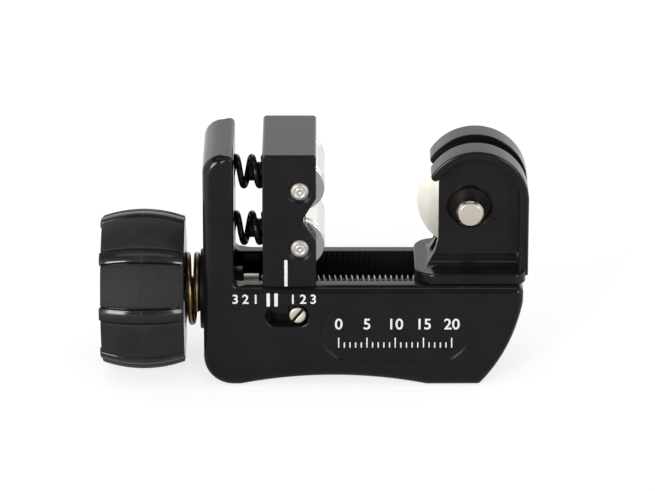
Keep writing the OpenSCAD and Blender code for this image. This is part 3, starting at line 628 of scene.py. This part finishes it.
def around_knob(name, outline, width_deg, steps, edge, domes=()):
    """Turns an outline through a part of a circle and repeats it eight times about the screw."""
    piece = draw(name, outline, "xz")
    edit()
    bpy.ops.mesh.spin(steps=steps, angle=-radians(width_deg), center=(0, 0, 0), axis=(1, 0, 0))
    leave()
    face_out(piece)
    combine(piece, domes, "INTERSECT")
    soften(piece, edge, 5)
    edit()
    others = 7
    way = -radians(others * grip_step)
    bpy.ops.mesh.spin(steps=others, dupli=True, angle=way, center=(0, 0, 0), axis=(1, 0, 0))
    leave()
    return piece


def onto_screw(piece, start_deg):
    """Turns a piece drawn upright about the X axis to its place on the knob."""
    piece.rotation_euler = (radians(start_deg - 180), 0, 0)
    piece.location = (0, 0, screw_z)
    hold(piece)
    return settle(piece.name)


core_profile = along_barrel(*body_x, grip_t) + [
    (body_x[1], drag_seat_r), (drag_seat_x, drag_seat_r), (drag_seat_x, journal_r + run_fit),
    (hex_x[1], journal_r + run_fit), (hex_x[1], hex_r + run_fit), (hex_x[0], hex_r + run_fit),
    (hex_x[0], pit_r), (dish_x, pit_r), (dish_x, dish_r), (body_x[0], dish_r),
]
core = lathe("knob_body", core_profile, 0.35 * mm, "X", z=screw_z)
rib_end = knob_x[1] - 0.3 * mm
rib_outline = along_barrel(knob_x[0], rib_end, 0) + [(rib_end, rib_foot_r), (knob_x[0], rib_foot_r)]
# A ring with the barrel's own curve gives the ribs a domed crest
dome_r = 3.7 * mm
half_turn = radians(rib_deg / 2 - 1)
middle = (knob_mid, (barrel_r - knob_r) * sin(half_turn), (knob_r - barrel_r) * cos(half_turn))
let_go()
bpy.ops.mesh.primitive_torus_add(
    major_radius=barrel_r - dome_r, minor_radius=dome_r, major_segments=288, minor_segments=96,
    location=middle, rotation=(pi / 2 + half_turn, 0, 0),
)
dome = settle("dome")
ribs = around_knob("ribs", rib_outline, rib_deg - 2, 8, 0.4 * mm, [dome])
ribs = onto_screw(ribs, rib_turn - rib_deg / 2 + 1)
knob = join("knob_body", [core, ribs])
grip_sunk = 0.3 * mm
grip_x = (body_x[0], knob_x[1] - ring_w)
ring_x = (grip_x[1] - 0.6 * mm, rib_end)
panel_outline = along_barrel(*grip_x, grip_sunk) + along_barrel(*reversed(grip_x), grip_t - snug)
panels = around_knob("panels", panel_outline, grip_step - rib_deg, 14, 0.34 * mm)
panels = onto_screw(panels, rib_turn + rib_deg / 2)
ring_outline = along_barrel(*ring_x, grip_sunk, 4) + along_barrel(*reversed(ring_x), grip_t - snug, 4)
ring = lathe("grip_ring", ring_outline, 0.35 * mm, "X", z=screw_z)
grips = join("grip_panels", [panels, ring])

parting, given, gives = effect("parting_line", {"Place": knob_mid, "Width": 0.09 * mm}, {"Mask": "Float"})
seam_x = add(parting, "SeparateXYZ", {0: given["Vector"]})
gap = calc(parting, "ABSOLUTE", calc(parting, "SUBTRACT", seam_x["X"], given["Place"]))
feed(gives, {"Mask": ramp(parting, gap, 0, given["Width"], 1.0, 0.0)})


def seamed(tree, place, depth, normal):
    """Sinks the fine parting line of the mould into a surface."""
    seam = place_effect(tree, parting, place)
    return add(tree, "Bump", {"Distance": depth, "invert": True, "Height": seam["Mask"], "Normal": normal})[0]


hard_plastic, tree, shader, place = surface("knob_plastic", (0.014, 0.0135, 0.014), 0.2, {"IOR": 1.5})
skin = place_effect(tree, cast_skin, place, Waves=0.05, Grain=0.0012)
ridge = seamed(tree, place, 0.05 * mm, skin["Normal"])
rough, color = patchy(tree, place, 200, 0.08, 0.2, (0.013, 0.0125, 0.013), (0.022, 0.021, 0.021))
feed(shader, {"Base Color": color, "Roughness": rough, "Normal": ridge})
fit(knob, hard_plastic, "screw_and_knob", "knob_core")

soft_grip, tree, shader, place = surface(
    "grip_rubber", (0.017, 0.0155, 0.015), 0.6, {"IOR": 1.33, "Sheen Weight": 0.03, "Sheen Roughness": 0.5}
)
pebbles = add(tree, "TexVoronoi", {"feature": "SMOOTH_F1", "Scale": 3300, "Smoothness": 0.6, "Vector": place})
fine = add(tree, "TexNoise", {"Scale": 5200, "Detail": 3, "Vector": place})
rise = calc(tree, "ADD", pebbles["Distance"], fine[0])
skin = add(tree, "Bump", {"Distance": 0.04 * mm, "Height": rise})
ridge = seamed(tree, place, 0.06 * mm, skin[0])
specks = add(tree, "TexVoronoi", {"Scale": 900, "Vector": place})
dust = ramp(tree, specks["Distance"], 0.075, 0.03)
rough, rubber = patchy(tree, place, 170, 0.5, 0.7, (0.0135, 0.0122, 0.012), (0.023, 0.0208, 0.020))
color = blend(tree, rubber, (0.085, 0.082, 0.078), dust)
feed(shader, {"Base Color": color, "Roughness": rough, "Normal": ridge})
fit(grips, soft_grip, "screw_and_knob", "knob_grips")

# A bright zinc-plated pan-head screw with a cross recess, and a flat washer, hold the knob on
# the screw's hexagon. Both sit in the pit in the knob's outer face.
knob_washer_x = hex_x[0] - 0.9 * mm
head_x = knob_washer_x - 2.4 * mm
head_r = 3.7 * mm
flat_r = 4.8 * mm
knob_screw_r = 1.5 * mm
knob_screw_end = hex_x[0] + 6.7 * mm
cross_l = 2.2 * mm
cross_w = 0.35 * mm
cross_depth = 0.9 * mm
zinc = turned("bright_zinc", (0.70, 0.70, 0.68), (0.42, 0.42, 0.41), 0.22, "X", screw_axis, 0.0012)
hole_r = knob_screw_r + run_fit
flat_profile = [(knob_washer_x, hole_r), (knob_washer_x, flat_r), (hex_x[0], flat_r), (hex_x[0], hole_r)]
flat_washer = lathe("flat_washer", flat_profile, 0.15 * mm, "X", z=screw_z, steps=64)
fit(flat_washer, zinc, "screw_and_knob", "knob_washer")
pan_profile = [(head_x, 0)] + sweep((head_x, 1.6 * mm), (head_x, head_r), (head_x + 1.5 * mm, head_r), 8)
pan_profile += [
    (knob_washer_x, head_r), (knob_washer_x, knob_screw_r),
    (knob_screw_end, knob_screw_r), (knob_screw_end, 0),
]
pan_head = lathe("pan_head", pan_profile, 0, "X", z=screw_z, steps=64, hollow=False, shade=False)
recess = []
for along_y, along_z in ((cross_l, cross_w), (cross_w, cross_l)):
    low = (head_x - overrun, -along_y, screw_z - along_z)
    recess.append(block("recess", low, (head_x + cross_depth, along_y, screw_z + along_z)))
combine(pan_head, recess)
soften(pan_head, 0.08 * mm, 2)
fit(pan_head, zinc, "screw_and_knob", "knob_screw")


# The drag spring is bright brass-coloured wire, coiled round the journal between the knob and
# the bush, where it keeps the knob from turning by itself.
def wire(name, x0, x1, r, thick, curls, start_deg, z):
    """Round wire coiled along X between two seats, with part of a flat curl on each seat."""
    step_deg = 12
    flat_steps = 9
    steps = round(360 * curls / step_deg)
    first, last = x0 + thick / 2, x1 - thick / 2
    points = [(first, start_deg - step_deg * i) for i in range(flat_steps, 0, -1)]
    for i in range(steps + 1):
        points.append((first + (x1 - x0 - thick) * i / steps, start_deg + 360 * curls * i / steps))
    points += [(last, start_deg + 360 * curls + step_deg * i) for i in range(1, flat_steps + 1)]
    points = [(x, radians(turn)) for x, turn in points]
    trail([Vector((x, r * cos(turn), z + r * sin(turn))) for x, turn in points])
    leave()
    bpy.ops.object.convert(target="CURVE")
    line = bpy.context.object.data
    line.bevel_depth = thick / 2
    line.bevel_resolution = 6
    line.use_fill_caps = True
    bpy.ops.object.convert(target="MESH")
    piece = settle(name)
    soften(piece, 0, over=60)
    return piece


brass, tree, shader, place = surface("brass_wire", (0.56, 0.42, 0.22), 0.24, {"Metallic": 1.0})
skin = place_effect(tree, cast_skin, place, Waves=0.02, Grain=0.006)
rough, color = patchy(tree, place, 420, 0.26, 0.42, (0.50, 0.39, 0.21), (0.36, 0.26, 0.13))
feed(shader, {"Base Color": color, "Roughness": rough, "Normal": skin["Normal"]})
drag_seat = (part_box("drag_spring")[0].x, leg_left - bush_flange_t)
drag = wire("drag_coil", *drag_seat, r=7.5 * mm, thick=1.4 * mm, curls=2, start_deg=90, z=screw_z)
fit(drag, brass, "frame", "drag_spring")

# The roller carriage is a second die casting in the same enamel. It slides on the rails with a
# saddle over the screw, and has two cavities for the rollers, a notch between them, spring
# seats on the left and a shallow dish round each roller pin.
low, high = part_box("roller_carriage")
carriage_x = (low.x, high.x)
carriage_z = (rail_top + 0.06 * mm, high.z)
cut_z = 39.4 * mm
roller_x = carriage_x[1] - 3.6 * mm
roller_r = 5.45 * mm
roller_half = 10 * mm
pin_r = 1.95 * mm
saddle_r = 3.82 * mm
tongue_half = 8.74 * mm
stop_x = carriage_x[0] + 7.7 * mm
carriage_r = 0.7 * mm
notch_half = 5 * mm
tongue_inset = 0.4 * mm
pin_dish_r = 2.6 * mm
pin_dish_depth = 0.4 * mm
seat_depth = 0.9 * mm
carriage_outline = (
    corner(carriage_x[0], carriage_z[0], carriage_r, 180, 4)
    + corner(carriage_x[1], carriage_z[0], carriage_r, 270, 4)
    + [(carriage_x[1], cut_z - notch_half)]
    + arc(carriage_x[1] - 1.2 * mm, cut_z, 1.6 * mm, 225, 135)
    + [(carriage_x[1], cut_z + notch_half)]
    + corner(carriage_x[1], carriage_z[1], carriage_r, 0, 4)
    + corner(carriage_x[0], carriage_z[1], carriage_r, 90, 4)
)
carriage = slab("carriage_casting", carriage_outline, "xz", front_y, back_y)
round_edges(carriage, 0.4 * mm, lambda p: abs(abs(p.y) - back_y) < near, 4)
tongue_low = (carriage_x[0] + tongue_inset, -tongue_half, rail_top - 10 * mm)
tongue_high = (carriage_x[1] - tongue_inset, tongue_half, rail_top + 0.8 * mm)
combine(carriage, [block("saddle_tongue", tongue_low, tongue_high)], "UNION")
left, right = carriage_x[0] - overrun, carriage_x[1] + overrun
cuts = [
    rod("saddle", (left, 0, screw_z), (right, 0, screw_z), saddle_r),
    block("saddle_mouth", (left, -saddle_r, channel_floor), (right, saddle_r, screw_z)),
    rod("stop_hole", (stop_x, front_y, slot_z), (stop_x, -3 * mm, slot_z), pin_r + snug, 32),
]
cavity_r = roller_r + 0.3 * mm
cavity_half = roller_half + 0.3 * mm
for z in roller_z.values():
    cuts.append(rod("cavity", (roller_x, -cavity_half, z), (roller_x, cavity_half, z), cavity_r))
    cuts.append(block("mouth", (roller_x, -cavity_half, z - cavity_r), (right, cavity_half, z + cavity_r)))
    outside = (roller_x, front_y - overrun, z)
    cuts.append(rod("pin_hole", outside, (roller_x, back_y + overrun, z), pin_r + snug, 48))
    cuts.append(rod("dish", outside, (roller_x, front_y + pin_dish_depth, z), pin_dish_r, 48))
    cuts.append(rod("spring_seat", (left, 0, z), (carriage_x[0] + seat_depth, 0, z), pocket_r))
combine(carriage, cuts)
soften(carriage, 0.22 * mm)
fit(carriage, enamel, "roller_carriage", "roller_carriage")

# Two rollers of ground and polished steel turn on plain turned pins, which are pressed through
# the carriage. Each pin's end has a centre mark and a fine ring left by the lathe.
groove = (7.4 * mm, 8.4 * mm)
groove_floor = roller_r - 0.5 * mm
roller_profile = [(-roller_half, pin_r + run_fit), (-roller_half, roller_r), (-groove[1], roller_r)]
roller_profile += [(-groove[1], groove_floor), (-groove[0], groove_floor), (-groove[0], roller_r)]
roller_profile += [(-y, r) for y, r in reversed(roller_profile)]
pin_front = front_y - 0.15 * mm
end_ring = [
    (front_y + 0.05 * mm, 0), (front_y - 0.13 * mm, 0.3 * mm), (pin_front, 0.75 * mm),
    (front_y - 0.04 * mm, 0.95 * mm), (pin_front, 1.15 * mm),
]
pin_profile = end_ring + [
    (pin_front, 1.5 * mm), (front_y + 0.2 * mm, pin_r),
    (back_y - 0.3 * mm, pin_r), (back_y, pin_r - 0.3 * mm), (back_y, 0),
]
for level, z in roller_z.items():
    roller = lathe(level + "_roller_shell", roller_profile, 0.18 * mm, "Y", roller_x, z)
    centre = (roller_x, 0, z)
    polished = turned(
        "polished_steel_" + level, (0.92, 0.91, 0.89), (0.80, 0.79, 0.76), 0.06, "Y", centre, 0.0004, 3000,
        spread=0.08,
    )
    fit(roller, polished, level + "_roller", level + "_roller")
    pin = lathe(level + "_pin_turned", pin_profile, 0.06 * mm, "Y", roller_x, z, 64, False)
    nickel = turned(
        "turned_nickel_" + level, (0.66, 0.63, 0.59), (0.44, 0.41, 0.37), 0.28, "Y", centre, 0.0025, metal=0.7
    )
    fit(pin, nickel, "roller_carriage", level + "_roller_pin")

# Two compression springs of glossy black wire push the carriage away from the leg. A black
# pin inside each one is pressed into the carriage and keeps it straight.
spring_wire = coated(
    "spring_black", (0.008, 0.0078, 0.008), (0.05, 0.05, 0.05), 0.14, 0.3, 0.02, 0.002, 0.2, 1.5
)
seat_x = carriage_x[0] + seat_depth
guide_r = 2.1 * mm
guide_x = (carriage_x[0] - 3.6 * mm, carriage_x[0] + 1.9 * mm)
guide_profile = [(guide_x[0], 0), (guide_x[0], guide_r - 0.6 * mm), (guide_x[0] + 0.6 * mm, guide_r)]
guide_profile += [(guide_x[1], guide_r), (guide_x[1], 0)]
for level, z in roller_z.items():
    spring = wire(
        level + "_coil", pocket_floor, seat_x, r=3.2 * mm, thick=1.4 * mm, curls=2.9, start_deg=22, z=z
    )
    fit(spring, spring_wire, "frame", level + "_spring")
    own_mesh(spring)
    guide = lathe(level + "_guide_pin", guide_profile, 0.2 * mm, "X", 0, z, 48, False)
    guide_oxide = turned(
        "guide_oxide_" + level, (0.02, 0.018, 0.017), (0.01, 0.01, 0.01), 0.3, "X", (0, 0, z), metal=0.6
    )
    fit(guide, guide_oxide, "roller_carriage", level + "_spring_guide")

# The stop screw is a nickel-plated slotted grub screw in the carriage. It runs in the slot in
# the frame's front and ends the carriage's travel both ways.
stop_y = (front_y + 0.5 * mm, -3.9 * mm)
stop_profile = [(stop_y[0], 0), (stop_y[0], pin_r - 0.35 * mm), (stop_y[0] + 0.35 * mm, pin_r)]
stop_profile += [(stop_y[1], pin_r), (stop_y[1], 0)]
stop = lathe("stop_grub", stop_profile, 0.12 * mm, "Y", stop_x, slot_z, 48, False, False)
driver_turn = 50
driver_half = 0.35 * mm
driver_depth = 0.8 * mm
driver = block("driver_slot", (-3 * mm, -overrun, -driver_half), (3 * mm, driver_depth, driver_half))
driver.rotation_euler = (0, -radians(driver_turn), 0)
driver.location = (stop_x, stop_y[0], slot_z)
hold(driver)
settle("driver_slot")
combine(stop, [driver])
soften(stop, 0.07 * mm, 2)
stop_nickel = turned(
    "stop_nickel", (0.84, 0.80, 0.68), (0.56, 0.50, 0.40), 0.3, "Y", (stop_x, 0, slot_z), metal=0.7
)
tree, shader, place, clean = reopen(stop_nickel)
# Painted shade: all but the front face goes near-black, darkest in the driver slot and beside the frame's slot
spot = add(tree, "SeparateXYZ", {0: place})
painted_slot_shade = ramp(tree, spot["Y"], stop_y[0] + 0.1 * mm, stop_y[0] + 0.3 * mm)
feed(shader, {"Base Color": blend(tree, clean, (0.03, 0.026, 0.02), painted_slot_shade)})
fit(stop, stop_nickel, "roller_carriage", "stop_screw")

# The wheel carrier is the third enamelled casting: a flat sliding base with a round nose, a
# tongue with the nut in it, two ears with a gap for the wheel, and an arched hood with a slot.
carrier_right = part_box("wheel_carrier")[1].x
base_x = (22.2619 * mm, 46.7619 * mm)
base_z = (rail_top + 0.06 * mm, 25.96 * mm)
base_half = 11.4 * mm
nose_r = 5 * mm
corner_r = 2.6 * mm
fillet_r = 3.1 * mm
wheel_x = 34.4619 * mm
ear_x = wheel_x - 6.9 * mm
ear_half = 4.3 * mm
ear_gap_half = 2 * mm
flare_w = 2.7 * mm
hood_x = wheel_x + 1.3 * mm
hood_z = cut_z + 2.8 * mm
hood_r = 11.6 * mm
hood_t = 2 * mm
hood_half = 8.8 * mm
hood_deg = 148
wall_x = carrier_right - 2.2 * mm
carrier_slot_half = 2.5 * mm
tongue_x = (23.36 * mm, 41.36 * mm)
wheel_pin_r = 3.1 * mm
clip_bore_r = 4.6 * mm
clip_bore_depth = 0.9 * mm
bore_rim_r = 4.95 * mm
bore_rim_depth = 0.25 * mm
plan = (
    corner(base_x[0], -base_half, nose_r, 180, 12)
    + corner(base_x[1], -base_half, corner_r, 270)
    + corner(base_x[1], base_half, corner_r, 0)
    + corner(base_x[0], base_half, nose_r, 90, 12)
)
carrier = slab("carrier_casting", plan, "xy", *base_z)
round_edges(carrier, 0.45 * mm, lambda p: p.z > base_z[1] - near, 4)
foot_low = base_z[0] + overrun
fillet_at = (ear_half + fillet_r, base_z[1] + fillet_r - 0.05 * mm)
foot_section = (
    [(-fillet_at[0], foot_low), (fillet_at[0], foot_low)]
    + arc(*fillet_at, fillet_r, 270, 180, 10)
    + arc(-fillet_at[0], fillet_at[1], fillet_r, 0, -90, 10)
)
foot = slab("ear_foot", foot_section, "yz", ear_x - 4 * mm, carrier_right - 0.5 * mm)
flare_z = base_z[1] + (hood_z - base_z[1]) * 0.42
ear_r = hood_r - hood_t / 2
ear_open = degrees(acos((ear_x - hood_x) / ear_r))
ear_outline = (
    [(ear_x - flare_w, foot_low), (carrier_right - overrun, foot_low)]
    + arc(hood_x, hood_z, ear_r, 0, ear_open, 24)
    + sweep((ear_x, flare_z), (ear_x, base_z[1] + fillet_r), (ear_x - flare_w, base_z[1] - 0.05 * mm))
)
ears = slab("ears", ear_outline, "xz", -ear_half, ear_half)
combine(foot, [slab("flare", ear_outline, "xz", -base_half, base_half)], "INTERSECT")
hood_inner = hood_r - hood_t
tip = radians(hood_deg)
tip_mid = (hood_x + ear_r * cos(tip), hood_z + ear_r * sin(tip))
hood_outline = (
    [(carrier_right, foot_low)]
    + arc(hood_x, hood_z, hood_r, 0, hood_deg, 40)
    + arc(*tip_mid, hood_t / 2, hood_deg, hood_deg + 180, 6)[1:-1]
    + arc(hood_x, hood_z, hood_inner, hood_deg, 12, 40)
    + [(wall_x, hood_z), (wall_x, foot_low)]
)
hood = slab("hood", hood_outline, "xz", -hood_half, hood_half)
round_edges(hood, 0.45 * mm, lambda p: abs(abs(p.y) - hood_half) < near, 3)
tongue_low = (tongue_x[0], -tongue_half, 11.6 * mm)
tongue = block("nut_tongue", tongue_low, (tongue_x[1], tongue_half, foot_low))
combine(carrier, [foot, ears, hood, tongue], "UNION")
room_floor = cut_z - 12.3 * mm
cuts = [
    block("wheel_room", (10 * mm, -ear_gap_half, room_floor), (wall_x, ear_gap_half, 70 * mm)),
    rod("nut", (tongue_x[0] - overrun, 0, screw_z), (tongue_x[1] + overrun, 0, screw_z), thread_r + run_fit),
    rod("pin_bore", (wheel_x, -hood_half, cut_z), (wheel_x, hood_half, cut_z), wheel_pin_r + snug, 48),
    block("wall_slot", (wall_x - 0.4 * mm, -carrier_slot_half, hood_z - 8 * mm),
          (carrier_right + overrun, carrier_slot_half, hood_z + hood_t)),
]
slot_deg = hood_deg + 20
slot_outline = arc(hood_x, hood_z, hood_inner, 0, slot_deg, 40)
slot_outline += arc(hood_x, hood_z, hood_r + 2 * overrun, slot_deg, 0, 40)
cuts.append(slab("hood_slot", slot_outline, "xz", -carrier_slot_half, carrier_slot_half))
for side in (-1, 1):
    inner = side * (ear_half - clip_bore_depth)
    outer = side * (ear_half + 2 * mm)
    step = side * (ear_half - bore_rim_depth)
    cuts.append(rod("bore_rim", (wheel_x, step, cut_z), (wheel_x, outer, cut_z), bore_rim_r, 72))
    cuts.append(rod("clip_bore", (wheel_x, inner, cut_z), (wheel_x, outer, cut_z), clip_bore_r, 72))
combine(carrier, cuts)
soften(carrier, 0.2 * mm)
fit(carrier, enamel, "wheel_carrier", "wheel_carrier")

# The cutting wheel is hardened steel with a fine satin finish: a hub, a thinner blade and a
# ground edge with a bevel from both sides.
hub_half = 1.9 * mm
hub_r = 6 * mm
blade_half = 1.3 * mm
bevel_r = 6.9 * mm
edge_half = 0.1 * mm
wheel_r = 11.5 * mm
wheel_profile = [(-hub_half, wheel_pin_r + run_fit), (-hub_half, hub_r), (-blade_half, hub_r)]
wheel_profile += [(-blade_half, bevel_r), (-edge_half, wheel_r)]
wheel_profile += [(-y, r) for y, r in reversed(wheel_profile)]
wheel = lathe("wheel_blade", wheel_profile, 0.06 * mm, "Y", wheel_x, cut_z, 128, ease_steps=2)
wheel_centre = (wheel_x, 0, cut_z)
satin = turned(
    "satin_steel", (0.79, 0.77, 0.69), (0.67, 0.64, 0.57), 0.38, "Y", wheel_centre, 0.0022, 4200, 0.45
)
fit(wheel, satin, "cutting_wheel", "cutting_wheel")

# The wheel pin is turned and nickel plated, with polished sides and matt, chamfered ends. It
# stands out of the front ear so that it can be pulled, and a snap ring in a groove beside each
# ear keeps it in.
pin_y = (-9.5 * mm, 6.2 * mm)
clip_y = (-4.1 * mm, 3.4 * mm)
clip_t = 0.7 * mm
clip_r = 4.2 * mm
groove_r = 2.6 * mm
pin_chamfer = 0.6 * mm
axle_profile = [(pin_y[0], 0), (pin_y[0], wheel_pin_r - pin_chamfer), (pin_y[0] + pin_chamfer, wheel_pin_r)]
for y in clip_y:
    axle_profile += [(y, wheel_pin_r), (y, groove_r), (y + clip_t, groove_r), (y + clip_t, wheel_pin_r)]
axle_profile += [(pin_y[1] - pin_chamfer, wheel_pin_r), (pin_y[1], wheel_pin_r - pin_chamfer), (pin_y[1], 0)]
axle = lathe("wheel_axle", axle_profile, 0.1 * mm, "Y", wheel_x, cut_z, 96, False, ease_steps=2)
axle_nickel = turned("axle_nickel", (0.66, 0.60, 0.52), (0.44, 0.39, 0.32), 0.1, "Y", wheel_centre, 0.0015)
tree, shader, place, polished = reopen(axle_nickel)
spot = add(tree, "SeparateXYZ", {0: place})
faced = ramp(tree, spot["Y"], pin_y[0] + 0.12 * mm, pin_y[0] + 0.04 * mm)
color = blend(tree, polished, (0.65, 0.60, 0.51), faced)
feed(shader, {"Base Color": color, "Metallic": ramp(tree, faced, 0, 1, 1.0, 0.45)})
fit(axle, axle_nickel, "wheel_carrier", "wheel_pin")
clip_oxide = turned(
    "clip_oxide", (0.010, 0.009, 0.008), (0.006, 0.006, 0.006), 0.3, "Y", wheel_centre, metal=0.3, ior=1.3
)
for side, y in zip(("front", "rear"), clip_y):
    outline = arc(wheel_x, cut_z, clip_r, -68, 248, 48) + arc(wheel_x, cut_z, groove_r + snug, 234, -54, 48)
    clip = slab(side + "_snap_ring", outline, "xz", y + snug, y + clip_t - snug)
    soften(clip, 0.1 * mm, 2)
    fit(clip, clip_oxide, "wheel_carrier", side + "_pin_clip")

# White marks are printed on the fronts: a pointer on the carriage with two set marks below
# it, plain numbers to both sides, and a plain scale in the oval panel.
white_print, tree, shader, place = surface("white_print", (0.78, 0.78, 0.76), 0.45)
rough, color = patchy(tree, place, 900, 0.38, 0.6, (0.80, 0.80, 0.78), (0.66, 0.66, 0.64))
feed(shader, {"Base Color": color, "Roughness": rough})
ink = 0.03 * mm


def bar_mark(name, x0, x1, z0, z1, y):
    """One printed bar with slightly rounded corners, proud of the surface at y."""
    outline = eased([(x0, z0), (x1, z0), (x1, z1), (x0, z1)], 0.12 * mm, 2)
    return slab(name, outline, "xz", y - ink, y + 4 * ink)


def number(name, text, x, z, height, y):
    """Plain printed figures centred on a place."""
    let_go()
    bpy.ops.object.text_add(location=(x, y, z), rotation=(pi / 2, 0, 0))
    words = bpy.context.object
    words.data.body = text
    words.data.size = height * 1.38
    words.data.align_x = "CENTER"
    words.data.align_y = "CENTER"
    words.data.extrude = ink
    words.data.offset = 0.045 * mm
    bpy.ops.object.convert(target="MESH")
    return settle(name)


mark_z = (19.1 * mm, 22.2 * mm)
figure_z = 20.7 * mm
figure_h = 2.2 * mm
figure_step = 2.25 * mm
marks = [
    bar_mark("mark", -10.40 * mm, -9.68 * mm, *mark_z, front_y),
    bar_mark("mark", -8.70 * mm, -7.92 * mm, *mark_z, front_y),
]
for i in range(3):
    for value, start in ((3 - i, -17.3 * mm), (i + 1, -4.6 * mm)):
        marks.append(number("figure", str(value), start + i * figure_step, figure_z, figure_h, front_y))
panel_front = front_y + panel_recess
scale_mid = (panel_x[0] + panel_x[1]) / 2
tick_step = 1.25 * mm
tick_w = 0.28 * mm
tick_z = 9.1 * mm
scale_z = 14.6 * mm
scale_h = 2.6 * mm
for i in range(21):
    x = scale_mid + (i - 10) * tick_step
    top = tick_z + (2.4 * mm if i % 5 == 0 else 1.3 * mm)
    marks.append(bar_mark("tick", x - tick_w / 2, x + tick_w / 2, tick_z, top, panel_front))
    if i % 5 == 0:
        marks.append(number("figure", str(i), x, scale_z, scale_h, panel_front))
front_marks = join("front_marks", marks)
face_out(front_marks)
fit(front_marks, white_print, "frame")
pointer = bar_mark("carriage_pointer", -6.46 * mm, -5.76 * mm, 23.9 * mm, 30.1 * mm, front_y)
fit(pointer, white_print, "roller_carriage")

# The studio is a pale floor in even light, dim overhead and behind the camera, with a softbox
# on either side in front and a dim one above. The camera stands in front and looks down on the
# cutter as the photograph does.
let_go()
bpy.ops.mesh.primitive_plane_add(size=6, location=(0, 0, 0))
floor = settle("floor")
pale, tree, shader, place = surface("pale_floor", (0.35, 0.35, 0.35), 0.8, {"Specular IOR Level": 0.1})
mottle = add(tree, "TexNoise", {"Scale": 6, "Detail": 2, "Vector": place})
feed(shader, {"Base Color": blend(tree, (0.34, 0.34, 0.34), (0.36, 0.36, 0.36), mottle[0])})
# It glows for the camera, and in reflections where it lies beside or behind the cutter
path = add(tree, "LightPath")
seen = calc(tree, "MULTIPLY", path["Is Camera Ray"], 0.75)
spot = add(tree, "SeparateXYZ", {0: place})
beside = ramp(tree, calc(tree, "ABSOLUTE", spot["X"]), 0.06, 0.13)
behind = ramp(tree, spot["Y"], -0.02, 0.01)
around = calc(tree, "MAXIMUM", beside, behind)
mirrored = calc(tree, "MULTIPLY", around, path["Is Glossy Ray"])
seen = calc(tree, "MULTIPLY_ADD", mirrored, 0.6, seen)
glow = add(tree, "Emission", {"Color": (1, 1, 1, 1), "Strength": seen})
lit = add(tree, "AddShader", {0: shader.outputs[0], 1: glow[0]})
feed(tree.nodes["Material Output"], {"Surface": lit[0]})
floor.data.materials.append(pale)

world = bpy.data.worlds.new("studio")
bpy.context.scene.world = world
world.use_nodes = True
tree = world.node_tree
# The background is white, lights with 0.6 of that, and is dimmer in reflections
path = add(tree, "LightPath")
shown = calc(tree, "MAXIMUM", path["Is Camera Ray"], path["Is Transmission Ray"])
level = ramp(tree, shown, 0, 1, 0.6, 1.0)
upward = add(tree, "SeparateXYZ", {0: add(tree, "TexCoord")["Generated"]})
overhead = ramp(tree, upward["Z"], 0.5, 0.82, 1.0, 0.055, "SMOOTHSTEP")
ahead = ramp(tree, upward["Y"], -0.95, -0.35, 0.05, 1.0, "SMOOTHSTEP")
mirrored = calc(tree, "MULTIPLY", overhead, ahead)
strength = add(tree, "Mix", {"data_type": "FLOAT", 0: path["Is Glossy Ray"], 2: level, 3: mirrored})
feed(tree.nodes["Background"], {"Color": (1, 1, 1, 1), "Strength": strength[0]})

aim = Vector((3.033, 0, 28.442)) * mm


def softbox(name, place, wide, tall, power):
    """A rectangular area lamp that faces the cutter."""
    place = Vector(place)
    turn = (aim - place).to_track_quat("-Z", "Y").to_euler()
    bpy.ops.object.light_add(type="AREA", location=place, rotation=turn)
    lamp = bpy.context.object
    lamp.name = lamp.data.name = name
    lamp.data.shape = "RECTANGLE"
    lamp.data.size = wide
    lamp.data.size_y = tall
    lamp.data.energy = power


softbox("left_softbox", (-0.62, -1.2, 0.36), 0.42, 0.7, 13)
softbox("right_softbox", (0.68, -1.15, 0.36), 0.2, 0.7, 4.5)
softbox("top_softbox", (0, -0.34, 1.36), 1.2, 0.5, 1.3)

elevation = radians(21.517)
distance = 1.1
back = Vector((0, -cos(elevation), sin(elevation)))
turn = (-back).to_track_quat("-Z", "Y").to_euler()
bpy.ops.object.camera_add(location=aim + back * distance, rotation=turn)
camera = bpy.context.object
camera.name = camera.data.name = "camera"
camera.data.lens = 271.9
camera.data.sensor_width = 36
camera.data.clip_start = 0.05
camera.data.clip_end = 20
bpy.context.scene.camera = camera
bpy.context.scene.view_settings.view_transform = "Standard"
